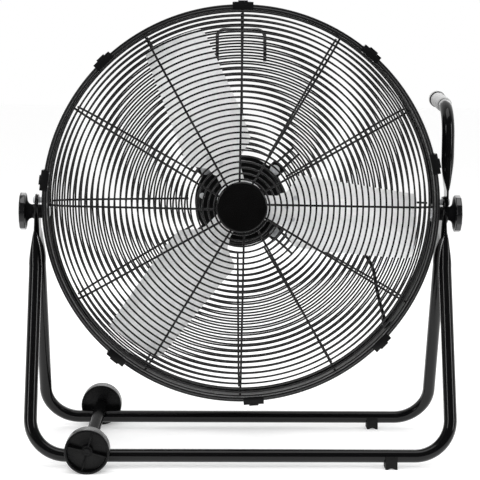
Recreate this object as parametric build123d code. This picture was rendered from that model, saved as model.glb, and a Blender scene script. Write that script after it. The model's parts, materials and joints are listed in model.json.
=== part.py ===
from build123d import *
import math
import os

os.makedirs("parts", exist_ok=True)

# Drum fan on a floor stand. Millimetres. X to the right, Y to the back, Z up.
# The origin is on the floor, in the middle of the stand: the air blows towards -Y.

# ---------------------------------------------------------------- general fits
running_gap = 0.05      # radial play of everything that turns on a pin or a shaft
seat_gap = 0.3          # a curved or loose piece lies this far from its seat
fit_gap = 0.1           # radial play of pieces that are pressed or screwed together
weld_gap = 0.4          # between the wires of a guard, where the weld bead is
cut_over = 1.0          # how far a cutter runs past the face that it opens
same_size = 0.01        # two radii closer than this are one
dome_share = 0.6        # rounding of a domed head, as a share of its thickness

# ---------------------------------------------------------------- main size
drum_radius = 341.0     # over the beads: the legs stand off this, and wheels, foot and handle off the legs

# ---------------------------------------------------------------- stand tubes
tube_radius = 11.0
tube_wall = 1.5
tube_lift = 20.5        # height of the bottom runs' axis over the floor
stand_depth = 302.0     # between the axes of the two bottom runs
leg_gap = 11.0          # from the drum's bead to the axis of a leg
leg_reach = drum_radius + leg_gap
corner_radius = 62.0
pivot_height = 414.0
plate_thick = 3.5       # a flattened tube end, both walls together
plate_width = 34.0
plate_run = 39.0        # flattened length under the pivot
taper_run = 60.0        # where the tube goes from flat to round
plate_lap = 14.0        # from the pivot to the centre of the rounded tip
plate_joint_inset = 0.25
plate_joint = leg_reach - plate_joint_inset     # the face where the two leg ends meet

# ---------------------------------------------------------------- pivots
pivot_bolt_radius = 5.0
pivot_head_radius = 9.0
pivot_head_thick = 3.5
spacer_radius = 12.0
pivot_plate_height = 30.0
pivot_plate_depth = 50.0
pivot_plate_thick = 3.0
leg_bolt_rise = 20.0
leg_bolt_radius = 3.0
leg_bolt_head_radius = 6.2
leg_bolt_head_thick = 3.8
leg_nut_radius = 5.8
leg_nut_thick = 4.0
washer_radius = 13.0
pivot_cut_depth = 15.0  # holes for the pivots start this far inside the drum's wall

# ---------------------------------------------------------------- clamping knobs
knob_radius = 32.5
knob_rim = 10.0
knob_neck_radius = 12.0
knob_neck = 5.5
knob_cone_radius = 26.0
knob_cone = 6.8
knob_facets = 12
knob_facet_trim = 0.4
knob_rim_bevel = 1.2
knob_cone_lap = 1.0     # the cone runs this far into the rim
knob_dish_radius = 20.0
knob_dish = 1.5
knob_nut_radius = 8.5
knob_nut_thick = 9.0
knob_bolt_reach = 14.0

# ---------------------------------------------------------------- wheels and feet
wheel_inset = 99.0      # from a leg's axis to the axle
wheel_side = -(leg_reach - wheel_inset)
wheel_radius = 37.0
wheel_width = 30.0
wheel_wall = 3.5
wheel_edge = 1.1        # rounding of the tread's edges
wheel_web = 3.0
wheel_web_depth = 17.0  # from the outer face to the web
wheel_hub_radius = 9.0
wheel_hub_sink = 8.0    # the hub's face lies this far inside the outer face
wheel_ribs = 4
wheel_rib_thick = 1.8
wheel_rib_sink = 6.0
wheel_rib_turn = 75.0
axle_radius = 4.0
axle_end_sink = 1.0     # the axle ends this far inside its retainers
axle_tube_proud = 17.0  # past the axis of each bottom run
axle_tube_reach = stand_depth / 2 + axle_tube_proud
bush_length = 7.2
wheel_washer_thick = 1.7
wheel_washer_radius = 9.0
wheel_gap = 0.3
retainer_radius = 6.5
retainer_thick = 3.0
foot_inset = 102.0      # from a leg's axis to the foot's middle
foot_side = leg_reach - foot_inset
foot_length = 20.0
foot_wall = 3.4
foot_rise = 1.6         # the clip's tips stand this far over the tube's axis
foot_notch_radius = 8.0
foot_notch_depth = 2.5

# ---------------------------------------------------------------- carrying handle
handle_offset = 6.0     # the handle's axis lies outside the leg's
handle_reach = leg_reach + handle_offset
handle_corner_height = 596.0
handle_bend = 55.0
handle_back = 140.0
handle_rise_angle = 6.0
handle_flat = 40.0      # flattened length over the pivot
grip_radius = 13.4
grip_start = 3.0
grip_flange_radius = 15.0
grip_flange = 12.0
grip_flange_bevel = 1.0
grip_groove = 2.0
grip_end = 3.0

# ---------------------------------------------------------------- drum
axis_rise = 15.0        # the fan's axis over the pivots
drum_depth = 80.0
drum_wall = 1.2
bead_radius = 3.6
bead_proud = 2.5        # the bead stands this far outside the wall

# ---------------------------------------------------------------- wire guards
ring_wire = 1.6
wire_sides = 12         # the rings' wire is drawn with this many flats
spoke_wire = 1.9
rim_wire = 2.5
ring_pitch = 9.9
first_ring = 47.0
rear_first_ring = 93.9
rim_ring_inset = 6.5    # from the bead's outside to the rim wire's axis
rim_ring_radius = drum_radius - rim_ring_inset
crown_radius = 9000.0
knuckle_inset = 54.5    # the crown ends this far inside the rim wire
knuckle_start = rim_ring_radius - knuckle_inset
knuckle_radius = 70.0
rim_slope = 40.0
spokes = 12
spoke_inner = 34.0
spoke_swirl = 0.8
rear_spoke_inner = 91.4

# ---------------------------------------------------------------- front hub
hub_cap_radius = 43.5
hub_cap_front = 82.0
hub_cap_wall = 2.0
hub_cap_bevel = 3.0
hub_plate_radius = 42.0
hub_plate_thick = 2.0
hub_screws = 3
hub_screw_circle = 20.0
hub_screw_radius = 2.0
hub_screw_head = 4.0
hub_screw_floor = 1.0   # left in front of a screw's hole in the cap
hub_boss_radius = 5.0

# ---------------------------------------------------------------- guard clips
clip_angles = (12.5, 50.0, 90.0, 134.0, 173.0, 231.0, 274.0, 316.0)
clip_length = 35.0
clip_thick = 3.0
clip_pad_low = 16.0
clip_lip = 2.4
clip_lip_depth = 10.0   # the lip ends this far inside the drum's bead
clip_lip_reach = drum_radius - clip_lip_depth
clip_block_length = 16.0
clip_block_rise = 2.7
clip_screw_spread = 12.0
clip_screw_radius = 1.8
clip_screw_head = 3.4
clip_screw_head_thick = 1.8
clip_screw_tail = 5.0

# ---------------------------------------------------------------- motor
motor_front = -24.0     # heights are measured along the fan's axis, front positive
motor_radius = 73.0
motor_wall = 2.5
motor_edge = 4.0
mount_plate_radius = 80.0
mount_plate_thick = 3.0
mount_plate_bore = 60.0
mount_ear_reach = 94.0
mount_ear_width = 26.0
mount_ear_turn = 42.0  # the four ears lie this far above and below the horizontal
rear_shell_radius = 62.5
rear_shell_back = -112.0
rear_flange_thick = 2.5
motor_bolt_circle = 68.0
motor_bolt_angles = (110.0, 170.0, 230.0, 350.0)
motor_bolt_radius = 2.5
motor_bolt_head = 5.0
motor_bolt_head_thick = 3.2
motor_nut_radius = 5.0
motor_nut_thick = 4.0
mount_screw_head = 6.5
mount_screw_head_thick = 3.2
mount_washer_side = 18.0
mount_washer_thick = 2.0
front_washer_thick = 1.2
support_wire = 2.0
support_spread = 15.0
support_inner_gap = 1.0
support_outer = 132.0

# ---------------------------------------------------------------- motor inside
shaft_radius = 6.0
shaft_front = 20.0
shaft_hole = 9.0
bearing_radius = 16.0
bearing_width = 10.0
bearing_seat_wall = 4.0
stator_radius = 59.8
stator_bore = 33.0
stator_front = -45.0
stator_back = -88.0
rotor_gap = 0.4
winding_inner = 38.0
winding_outer = 56.0
winding_height = 11.0

# ---------------------------------------------------------------- blades
blade_angles = (-8.0, 112.0, 232.0)
blade_pitch = 24.0
blade_thick = 1.5
blade_tip_inset = 33.0  # from the drum's bead to the circle of the tips
blade_tip = drum_radius - blade_tip_inset
blade_tip_spare = 7.0   # the sheet's outline runs this far past that circle
blade_sheet_end = blade_tip + blade_tip_spare
blade_crease = -36.0
blade_crease_bend = 10.0
blade_flat = 28.0
blade_camber_radius = 300.0
blade_outline = (
    (60.0, -23.0), (76.0, -27.0), (99.0, -57.0), (146.0, -59.0), (blade_sheet_end, -49.0),
    (blade_sheet_end, 59.0), (128.0, 62.0), (95.0, 64.0), (76.0, 30.0), (60.0, 25.0),
)
blade_corner = 10.0
blade_root = 58.0
blade_chord = 80.0      # half the sheet that the outline is cut from
arm_thick = 3.0
arm_root = 24.0
arm_tip = 106.0
arm_root_half = 20.0
arm_tip_half = 30.0
spider_radius = 42.0
boss_radius = 15.0
boss_front = 10.0
boss_back = -14.0
hub_nut_radius = 10.0
hub_nut_thick = 7.0
rivet_places = ((80.0, 6.0), (92.6, -15.5), (93.4, 24.5))
rivet_radius = 2.4
rivet_head_radius = 4.4
rivet_head_thick = 1.6

# ---------------------------------------------------------------- switch
switch_width = 66.0
switch_height = 54.0
switch_depth = 28.0
switch_wall = 2.5
switch_corner = 8.0
switch_shaft_radius = 3.0
switch_shaft_run = 20.0
switch_knob_radius = 17.0
switch_knob_thick = 15.0
switch_skirt = 4.0
switch_grip_width = 9.0
switch_grip_inset = 0.5
switch_bore = 7.5       # depth of the shaft's hole in the knob

# ---------------------------------------------------------------- motor lead
lead_radius = 3.0
gland_radius = 6.0
lead_start_proud = 4.0  # the lead starts this far outside the motor's shell
lead_start_radius = motor_radius + lead_start_proud
lead_start_angle = math.radians(-25.0)
lead_start = (lead_start_radius * math.cos(lead_start_angle),
              lead_start_radius * math.sin(lead_start_angle), -48.0)
lead_end_inset = 14.0   # from the drum's bead to the lead's end
lead_end_radius = drum_radius - lead_end_inset
lead_end_angle = math.radians(-38.507)
lead_end = (lead_end_radius * math.cos(lead_end_angle), lead_end_radius * math.sin(lead_end_angle), -28.0)
lead_route = (
    lead_start, (104.0, -48.5, -50.0), (160.0, -66.0, -57.0), (212.0, -80.0, -60.5),
    (238.0, -114.0, -59.0), (244.0, -160.0, -44.0), lead_end,
)
lead_bend_share = 0.45
motor_gland_length = 8.0
wall_gland_length = 22.0

# ---------------------------------------------------------------- wire loop at the back
loop_wire = 3.0
loop_half_width = 42.0
loop_low = 246.0
loop_knee = 268.0
loop_top = 302.0
loop_stand = 20.0
loop_corner = 14.0
loop_knee_bend = 16.0

# ---------------------------------------------------------------- worked out
axis_height = pivot_height + axis_rise
leg_bolt_height = pivot_height + leg_bolt_rise
wall_outer = drum_radius - bead_proud
wall_inner = wall_outer - drum_wall
bead_height = drum_depth / 2 - bead_radius
leg_drop = pivot_height - tube_lift
leg_length = math.hypot(stand_depth / 2, leg_drop)
round_end = leg_length - plate_run - taper_run
rear_plate_middle = plate_joint - plate_thick / 2
front_plate_middle = plate_joint + plate_thick / 2
handle_plate_middle = front_plate_middle + plate_thick
plates_inner = plate_joint - plate_thick
knob_face = handle_plate_middle + plate_thick / 2
knob_depth = knob_neck + knob_cone + knob_rim
crown_angle = math.asin(knuckle_start / crown_radius)
crown_run = crown_radius * crown_angle
knuckle_run = knuckle_radius * (math.radians(rim_slope) - crown_angle)
rim_ring_height = drum_depth / 2 + rim_wire + seat_gap
knuckle_end = knuckle_start + knuckle_radius * (math.sin(math.radians(rim_slope)) - math.sin(crown_angle))
crown_drop = crown_radius * (1 - math.cos(crown_angle))
knuckle_drop = knuckle_radius * (math.cos(crown_angle) - math.cos(math.radians(rim_slope)))
skirt_run = (rim_ring_radius - knuckle_end) / math.cos(math.radians(rim_slope))
guard_face = rim_ring_height + crown_drop + knuckle_drop + skirt_run * math.sin(math.radians(rim_slope))
spoke_sink = ring_wire + spoke_wire + weld_gap
front_plate_top = guard_face - spoke_sink - spoke_wire - seat_gap


# ================================================================ helpers
def x_rod(radius, y, z, x_from, x_to):
    return Pos((x_from + x_to) / 2, y, z) * Rot(0, 90, 0) * Cylinder(radius, abs(x_to - x_from))


def y_rod(radius, x, z, y_from, y_to):
    return Pos(x, (y_from + y_to) / 2, z) * Rot(90, 0, 0) * Cylinder(radius, abs(y_to - y_from))


def rod(radius, low, high, x=0.0, y=0.0):
    return Pos(x, y, (low + high) / 2) * Cylinder(radius, high - low)


def ring(radius, bore, low, high, x=0.0, y=0.0):
    return rod(radius, low, high, x, y) - rod(bore, low - cut_over, high + cut_over, x, y)


def block(x_from, x_to, y_from, y_to, z_from, z_to):
    middle = Pos((x_from + x_to) / 2, (y_from + y_to) / 2, (z_from + z_to) / 2)
    return middle * Box(x_to - x_from, y_to - y_from, z_to - z_from)


def hexagon(radius, low, high, x=0.0, y=0.0):
    return Pos(x, y, low) * extrude(RegularPolygon(radius, 6), high - low)


def turned(points):
    # a solid turned about Z from (radius, height) points
    outline = make_face(Polyline(*[(radius, 0, height) for radius, height in points], close=True))
    return revolve(outline, Axis.Z)


def around(angle, radius):
    return radius * math.cos(math.radians(angle)), radius * math.sin(math.radians(angle))


def wire_along(path, radius):
    section = Plane(origin=path @ 0, z_dir=path % 0) * Circle(radius)
    return sweep(section, path=path)


def node(name, *shapes):
    solids = [solid for shape in shapes for solid in shape.solids()]
    export_step(solids[0] if len(solids) == 1 else Compound(solids), f"parts/{name}.step")


# The head is drawn lying on its back: local X to the right, Y up, Z to the front.
head_place = Plane(origin=(0, 0, axis_height), x_dir=(1, 0, 0), z_dir=(0, -1, 0)).location


def head_node(name, *shapes):
    node(name, *[shape.moved(head_place) for shape in shapes])


# ================================================================ stand
taper_shares = (0.0, 0.25, 0.5, 0.75, 1.0)     # from the round end to the flat one


def leg_place(front):
    # a plane in the slope of a frame: local X is world X, local Y runs up the legs
    toe = -stand_depth / 2 if front else stand_depth / 2
    up = Vector(0, -toe, leg_drop).normalized()
    return Plane(origin=(0, toe, tube_lift), x_dir=(1, 0, 0), z_dir=Vector(1, 0, 0).cross(up))


def taper_section(share):
    # the tube's section, from round at 0 to flat at 1, flattened faster near the flat end
    flatness = share ** 2
    half_thick = tube_radius + (plate_thick / 2 - tube_radius) * flatness
    half_wide = tube_radius + (plate_width / 2 - tube_radius) * flatness
    return Ellipse(half_thick, half_wide)


def flat_end(side, middle, place):
    # the taper from round to flat, and the flat end with its rounded tip
    start = side * leg_reach
    taper = []
    for share in taper_shares:
        x = start + (side * middle - start) * math.sqrt(share)
        section = Plane(origin=(x, round_end + taper_run * share, 0), x_dir=(1, 0, 0), z_dir=(0, 1, 0))
        taper.append(section * taper_section(share))
    plate = block(
        side * middle - plate_thick / 2, side * middle + plate_thick / 2,
        round_end + taper_run, leg_length + plate_lap, -plate_width / 2, plate_width / 2,
    )
    tip = x_rod(plate_width / 2, leg_length + plate_lap, 0,
                side * middle - plate_thick / 2, side * middle + plate_thick / 2)
    shape = loft(taper) + plate + tip
    return shape.moved(place.location)


def u_tube(front):
    place = leg_place(front)
    middle = front_plate_middle if front else rear_plate_middle
    path = FilletPolyline(
        (-leg_reach, round_end), (-leg_reach, 0), (leg_reach, 0), (leg_reach, round_end),
        radius=corner_radius,
    )
    path = place.location * path
    tube = wire_along(path, tube_radius) - wire_along(path, tube_radius - tube_wall)
    for side in (-1, 1):
        tube += flat_end(side, middle, place)
    tube -= x_rod(pivot_bolt_radius + running_gap, 0, pivot_height, -knob_face, knob_face)
    tube -= x_rod(leg_bolt_radius + fit_gap, 0, leg_bolt_height, -knob_face, knob_face)
    return tube


def axle_tube():
    tube = y_rod(tube_radius, wheel_side, wheel_radius, -axle_tube_reach, axle_tube_reach)
    tube -= y_rod(tube_radius - tube_wall, wheel_side, wheel_radius,
                  -axle_tube_reach - cut_over, axle_tube_reach + cut_over)
    for toe in (-stand_depth / 2, stand_depth / 2):
        tube -= x_rod(tube_radius + fit_gap, toe, tube_lift,
                      wheel_side - 2 * tube_radius, wheel_side + 2 * tube_radius)
    return tube


def axle_ring(radius, bore, end, inner, outer):
    # a ring round the axle, near the front (end -1) or the rear wheel (end 1)
    shape = y_rod(radius, wheel_side, wheel_radius, end * inner, end * outer)
    return shape - y_rod(bore, wheel_side, wheel_radius, end * (inner - cut_over), end * (outer + cut_over))


wheel_inner = axle_tube_reach + wheel_washer_thick + wheel_gap
wheel_outer = wheel_inner + wheel_width
hub_outer = wheel_outer - wheel_hub_sink
retainer_outer = hub_outer + wheel_gap + retainer_thick


def wheel(end):
    # drawn about Z with the outer face at the top, then stood on its place
    face = wheel_width
    web_top = face - wheel_web_depth
    hub_top = face - wheel_hub_sink
    shape = ring(wheel_radius, wheel_radius - wheel_wall, 0, face)
    shape += rod(wheel_radius - wheel_wall + fit_gap, web_top - wheel_web, web_top)
    shape += rod(wheel_hub_radius, 0, hub_top)
    for index in range(wheel_ribs):
        reach = wheel_radius - wheel_wall / 2
        rib = block(wheel_hub_radius - cut_over, reach, -wheel_rib_thick / 2, wheel_rib_thick / 2,
                    web_top, face - wheel_rib_sink)
        shape += Rot(0, 0, wheel_rib_turn + 360 / wheel_ribs * index) * rib
    shape -= rod(axle_radius + running_gap, -cut_over, face + cut_over)
    tread_edges = shape.edges().filter_by(GeomType.CIRCLE).filter_by(
        lambda edge: abs(edge.radius - wheel_radius) < same_size)
    shape = fillet(tread_edges, wheel_edge)
    facing = Plane(origin=(wheel_side, end * wheel_inner, wheel_radius),
                   x_dir=(1, 0, 0), z_dir=(0, end, 0))
    return shape.moved(facing.location)


def foot(toe):
    half = tube_radius + foot_wall
    shape = block(foot_side - foot_length / 2, foot_side + foot_length / 2,
                  toe - half, toe + half, 0, tube_lift + foot_rise)
    shape -= x_rod(tube_radius + fit_gap, toe, tube_lift,
                   foot_side - foot_length, foot_side + foot_length)
    shape -= y_rod(foot_notch_radius, foot_side, foot_notch_depth - foot_notch_radius,
                   toe - half - cut_over, toe + half + cut_over)
    return shape


def handle_tube():
    rise = math.radians(handle_rise_angle)
    taper_top = pivot_height + handle_flat + taper_run
    path = FilletPolyline(
        (handle_reach, 0, taper_top),
        (handle_reach, 0, handle_corner_height),
        (handle_reach, handle_back, handle_corner_height + handle_back * math.tan(rise)),
        radius=handle_bend,
    )
    tube = wire_along(path, tube_radius) - wire_along(path, tube_radius - tube_wall)
    taper = []
    for share in taper_shares:
        x = handle_plate_middle + (handle_reach - handle_plate_middle) * share
        height = pivot_height + handle_flat + taper_run * share
        taper.append(Plane(origin=(x, 0, height)) * taper_section(1 - share))
    low = handle_plate_middle - plate_thick / 2
    high = handle_plate_middle + plate_thick / 2
    plate = block(low, high, -plate_width / 2, plate_width / 2, pivot_height, pivot_height + handle_flat)
    shape = tube + loft(taper) + plate + x_rod(plate_width / 2, 0, pivot_height, low, high)
    shape -= x_rod(pivot_bolt_radius + running_gap, 0, pivot_height, low - cut_over, high + cut_over)
    shape -= x_rod(leg_bolt_radius + fit_gap, 0, leg_bolt_height, low - cut_over, high + cut_over)
    return shape


def handle_grip():
    # a sleeve with a closed end, drawn about Z from the end of the handle's bend
    rise = math.radians(handle_rise_angle)
    bend_run = handle_bend * math.tan((math.pi / 2 - rise) / 2)
    bore = tube_radius + fit_gap
    end = handle_back / math.cos(rise) - bend_run + fit_gap
    flange_low = end + grip_end - grip_flange
    shape = turned((
        (bore, grip_start), (grip_radius, grip_start), (grip_radius, flange_low - grip_groove),
        (grip_radius - grip_groove / 2, flange_low - grip_groove),
        (grip_radius - grip_groove / 2, flange_low),
        (grip_flange_radius - grip_flange_bevel, flange_low),
        (grip_flange_radius, flange_low + grip_flange_bevel), (grip_flange_radius, end),
        (grip_flange_radius - grip_end, end + grip_end), (0, end + grip_end), (0, end), (bore, end),
    ))
    along = Vector(0, math.cos(rise), math.sin(rise))
    corner = Vector(handle_reach, 0, handle_corner_height)
    return shape.moved(Plane(origin=corner + along * bend_run, x_dir=(1, 0, 0), z_dir=along).location)


def leg_bolt(side):
    # the left head sits on the front leg's plate, the right one on the handle's
    seat = knob_face if side > 0 else knob_face - plate_thick
    height = leg_bolt_height
    shape = x_rod(leg_bolt_head_radius, 0, height, side * seat, side * (seat + leg_bolt_head_thick))
    shape = fillet(shape.edges().sort_by(Axis.X)[-1 if side > 0 else 0], leg_bolt_head_thick * dome_share)
    return shape + x_rod(leg_bolt_radius, 0, height, side * (plates_inner - leg_nut_thick), side * seat)


def leg_nut(side):
    place = Plane(origin=(side * plates_inner, 0, leg_bolt_height),
                  x_dir=(0, 1, 0), z_dir=(-side, 0, 0))
    shape = hexagon(leg_nut_radius, 0, leg_nut_thick)
    shape -= rod(leg_bolt_radius + fit_gap, -cut_over, leg_nut_thick + cut_over)
    return shape.moved(place.location)


def pivot_washer(side):
    shape = x_rod(washer_radius, 0, pivot_height, side * (knob_face - plate_thick), side * knob_face)
    return shape - x_rod(pivot_bolt_radius + running_gap, 0, pivot_height,
                         side * (knob_face - plate_thick - cut_over), side * (knob_face + cut_over))


# ================================================================ knobs
def knob_location(side):
    return Plane(origin=(side * knob_face, 0, pivot_height), x_dir=(0, 1, 0), z_dir=(side, 0, 0)).location


def knob(side):
    rim_low = knob_neck + knob_cone
    shape = turned((
        (0, 0), (knob_neck_radius, 0), (knob_neck_radius, knob_neck),
        (knob_cone_radius, rim_low), (knob_cone_radius, rim_low + knob_cone_lap),
        (0, rim_low + knob_cone_lap),
    ))
    rim = Pos(0, 0, rim_low) * extrude(RegularPolygon(knob_radius, knob_facets), knob_rim)
    rim = rim & rod(knob_radius - knob_facet_trim, rim_low, knob_depth)
    rim = chamfer(rim.edges().group_by(Axis.Z)[-1], knob_rim_bevel)
    shape += rim
    shape -= rod(knob_dish_radius, knob_depth - knob_dish, knob_depth + cut_over)
    shape -= rod(knob_nut_radius + fit_gap, -cut_over, knob_nut_thick)
    shape -= rod(pivot_bolt_radius + running_gap, 0, knob_bolt_reach + cut_over)
    return shape.moved(knob_location(side))


def knob_nut(side):
    shape = ring(knob_nut_radius, pivot_bolt_radius + running_gap, 0, knob_nut_thick - fit_gap)
    return shape.moved(knob_location(side))


# ================================================================ drum and pivots on it
pivot_cut_start = wall_inner - pivot_cut_depth


def pivot_cut(side, radius):
    cutter = x_rod(radius, 0, pivot_height, side * pivot_cut_start, side * drum_radius)
    return cutter.moved(head_place.inverse())


def clip_place(angle):
    # local X runs along the rim, Y along the fan's axis, Z out of the drum
    outward = Vector(*around(angle, 1.0), 0)
    return Plane(origin=(0, 0, 0), x_dir=Vector(0, 0, 1).cross(outward), z_dir=outward).location


clip_screw_places = [(side * clip_screw_spread, clip_pad_low + clip_screw_tail) for side in (-1, 1)]
clip_pad_high = bead_height - bead_radius - seat_gap
clip_front = rim_ring_height + rim_wire + seat_gap


def guard_clip(angle):
    half = clip_length / 2
    inner = drum_radius + seat_gap
    outer = inner + clip_thick
    shape = block(-half, half, clip_pad_low, clip_front + clip_lip, inner, outer)
    shape += block(-half, half, clip_pad_low, clip_pad_high, wall_outer + seat_gap, outer)
    shape += block(-half, half, clip_front, clip_front + clip_lip, clip_lip_reach, outer)
    shape += block(-clip_block_length / 2, clip_block_length / 2, clip_pad_low, clip_front,
                   outer, outer + clip_block_rise)
    for x, y in clip_screw_places:
        shape -= rod(clip_screw_radius + fit_gap, wall_outer, outer + cut_over, x, y)
    return shape.moved(clip_place(angle))


def clip_screws(angle):
    outer = drum_radius + seat_gap + clip_thick
    pieces = []
    for x, y in clip_screw_places:
        shape = rod(clip_screw_head, outer, outer + clip_screw_head_thick, x, y)
        shape += rod(clip_screw_radius, wall_inner - clip_screw_tail, outer, x, y)
        pieces.append(shape.moved(clip_place(angle)))
    return pieces


def lead_end_place():
    before, end = (Vector(*point) for point in lead_route[-2:])
    return Plane(origin=end, z_dir=(end - before).normalized()).location


def lead_start_place():
    start, after = (Vector(*point) for point in lead_route[:2])
    return Plane(origin=start, z_dir=(start - after).normalized()).location


def drum_shell():
    shell = ring(wall_outer, wall_inner, -bead_height, bead_height)
    bead_centre = drum_radius - bead_radius
    for height in (-bead_height, bead_height):
        shell += Pos(0, 0, height) * Torus(bead_centre, bead_radius)
    for side in (-1, 1):
        shell -= pivot_cut(side, pivot_bolt_radius + fit_gap)
    for angle in clip_angles:
        for x, y in clip_screw_places:
            hole = rod(clip_screw_radius + fit_gap, wall_inner - cut_over, drum_radius, x, y)
            shell -= hole.moved(clip_place(angle))
    shell -= rod(gland_radius + fit_gap, 0, wall_gland_length).moved(lead_end_place())
    return shell


def pivot_plate(side):
    outer = wall_inner - fit_gap
    shape = ring(outer, outer - pivot_plate_thick, -pivot_plate_depth / 2, pivot_plate_depth / 2)
    x_ends = sorted((side * pivot_cut_start, side * drum_radius))
    shape = shape & block(*x_ends,
                          -axis_rise - pivot_plate_height / 2, -axis_rise + pivot_plate_height / 2,
                          -pivot_plate_depth, pivot_plate_depth)
    return shape - pivot_cut(side, pivot_bolt_radius + fit_gap)


def pivot_bolt(side):
    lowest = axis_rise + pivot_head_radius
    seat = math.sqrt((wall_inner - fit_gap - pivot_plate_thick) ** 2 - lowest ** 2) - fit_gap
    head = x_rod(pivot_head_radius, 0, pivot_height, side * (seat - pivot_head_thick), side * seat)
    head = fillet(head.edges().sort_by(Axis.X)[0 if side > 0 else -1], pivot_head_thick * dome_share)
    return head + x_rod(pivot_bolt_radius, 0, pivot_height, side * seat, side * (knob_face + knob_bolt_reach))


def pivot_spacer(side):
    shape = x_rod(spacer_radius, 0, pivot_height, side * pivot_cut_start, side * plates_inner)
    shape -= y_rod(wall_outer + fit_gap, 0, axis_height, -drum_depth, drum_depth)
    return shape - x_rod(pivot_bolt_radius + fit_gap, 0, pivot_height,
                         side * pivot_cut_start, side * (plates_inner + cut_over))


# ================================================================ wire guards
def guard_point(run, sink=0.0):
    # (radius, height) on the guard's curve, run millimetres from its centre, sink under it
    if run <= crown_run:
        slope = run / crown_radius
        radius = crown_radius * math.sin(slope)
        height = guard_face - crown_radius * (1 - math.cos(slope))
    else:
        slope = crown_angle + min(run - crown_run, knuckle_run) / knuckle_radius
        rest = max(run - crown_run - knuckle_run, 0.0)
        radius = knuckle_start + knuckle_radius * (math.sin(slope) - math.sin(crown_angle))
        radius += rest * math.cos(slope)
        height = guard_face - crown_drop - knuckle_radius * (math.cos(crown_angle) - math.cos(slope))
        height -= rest * math.sin(slope)
    return radius - sink * math.sin(slope), height - sink * math.cos(slope)


def wire_ring(radius, height, wire):
    section = RegularPolygon(wire, wire_sides)
    upright = Plane(origin=(radius, 0, height), x_dir=(1, 0, 0), z_dir=(0, 1, 0))
    return revolve(upright * section, Axis.Z)


def guard_rings(first_run):
    rings = []
    run = first_run
    while guard_point(run)[0] < rim_ring_radius - ring_pitch / 2:
        radius, height = guard_point(run)
        rings.append(wire_ring(radius, height, ring_wire))
        run += ring_pitch
    rings.append(wire_ring(rim_ring_radius, rim_ring_height, rim_wire))
    return rings


def spoke_point(run):
    radius, height = guard_point(run, spoke_sink)
    return Vector(radius, 0, height)


def guard_spokes(inner_run):
    knuckle_top = crown_run + knuckle_run
    outer_run = knuckle_top + skirt_run - rim_wire - weld_gap
    path = Wire([
        Edge.make_three_point_arc(*[spoke_point(run) for run in (
            inner_run, (inner_run + crown_run) / 2, crown_run)]),
        Edge.make_three_point_arc(*[spoke_point(run) for run in (
            crown_run, crown_run + knuckle_run / 2, knuckle_top)]),
        Edge.make_line(spoke_point(knuckle_top), spoke_point(outer_run)),
    ])
    spoke = wire_along(path, spoke_wire)
    spoke = Pos(rim_ring_radius, 0, 0) * Rot(0, 0, -spoke_swirl) * Pos(-rim_ring_radius, 0, 0) * spoke
    return [Rot(0, 0, 360 / spokes * index) * spoke for index in range(spokes)]


def turned_back(shapes):
    # the rear guard is the front one's shape, turned half round about the vertical
    return [Rot(0, 180, 0) * shape for shape in shapes]


# ================================================================ front hub
def screw_circle(count, circle, first=90.0):
    return [around(first + 360 / count * index, circle) for index in range(count)]


hub_screw_places = screw_circle(hub_screws, hub_screw_circle)
hub_plate_back = front_plate_top - hub_plate_thick
hub_cap_back = guard_face - spoke_sink + spoke_wire + seat_gap


def hub_plate():
    shape = rod(hub_plate_radius, hub_plate_back, front_plate_top)
    for x, y in hub_screw_places:
        shape -= rod(hub_screw_radius + fit_gap, hub_plate_back - cut_over, front_plate_top + cut_over, x, y)
    return shape


def hub_cap():
    inside = hub_cap_front - hub_cap_wall
    shape = turned((
        (0, hub_cap_back), (hub_cap_radius, hub_cap_back),
        (hub_cap_radius, hub_cap_front - hub_cap_bevel), (hub_cap_radius - hub_cap_bevel, hub_cap_front),
        (0, hub_cap_front),
    ))
    shape -= rod(hub_cap_radius - hub_cap_wall - hub_cap_bevel / 2, hub_cap_back - cut_over, inside)
    for x, y in hub_screw_places:
        boss = rod(hub_boss_radius, front_plate_top + fit_gap, inside + fit_gap, x, y)
        boss -= rod(hub_screw_radius, front_plate_top, inside - hub_screw_floor, x, y)
        shape += boss
    return shape


def hub_screw(x, y):
    head = rod(hub_screw_head, hub_plate_back - hub_screw_radius, hub_plate_back, x, y)
    tip = hub_cap_front - hub_cap_wall - hub_screw_floor - seat_gap
    return head + rod(hub_screw_radius - running_gap, hub_plate_back, tip, x, y)


# ================================================================ motor
support_height = guard_point(support_outer, ring_wire + weld_gap + support_wire)[1]
mount_plate_back = -(support_height - support_wire - seat_gap)
mount_plate_front = mount_plate_back + mount_plate_thick
rear_flange_back = mount_plate_back - rear_flange_thick
motor_bolt_places = [around(angle, motor_bolt_circle) for angle in motor_bolt_angles]
mount_ear_angles = (mount_ear_turn, 180 - mount_ear_turn, 180 + mount_ear_turn, 360 - mount_ear_turn)
mount_screw_circle = motor_radius + seat_gap + mount_washer_side / 2
mount_screw_places = [around(angle, mount_screw_circle) for angle in mount_ear_angles]
mount_washer_back = -(support_height + support_wire + seat_gap + mount_washer_thick)
support_inner = motor_radius + support_inner_gap


def bore_at(places, radius, low, high):
    return [rod(radius, low - cut_over, high + cut_over, x, y) for x, y in places]


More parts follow.
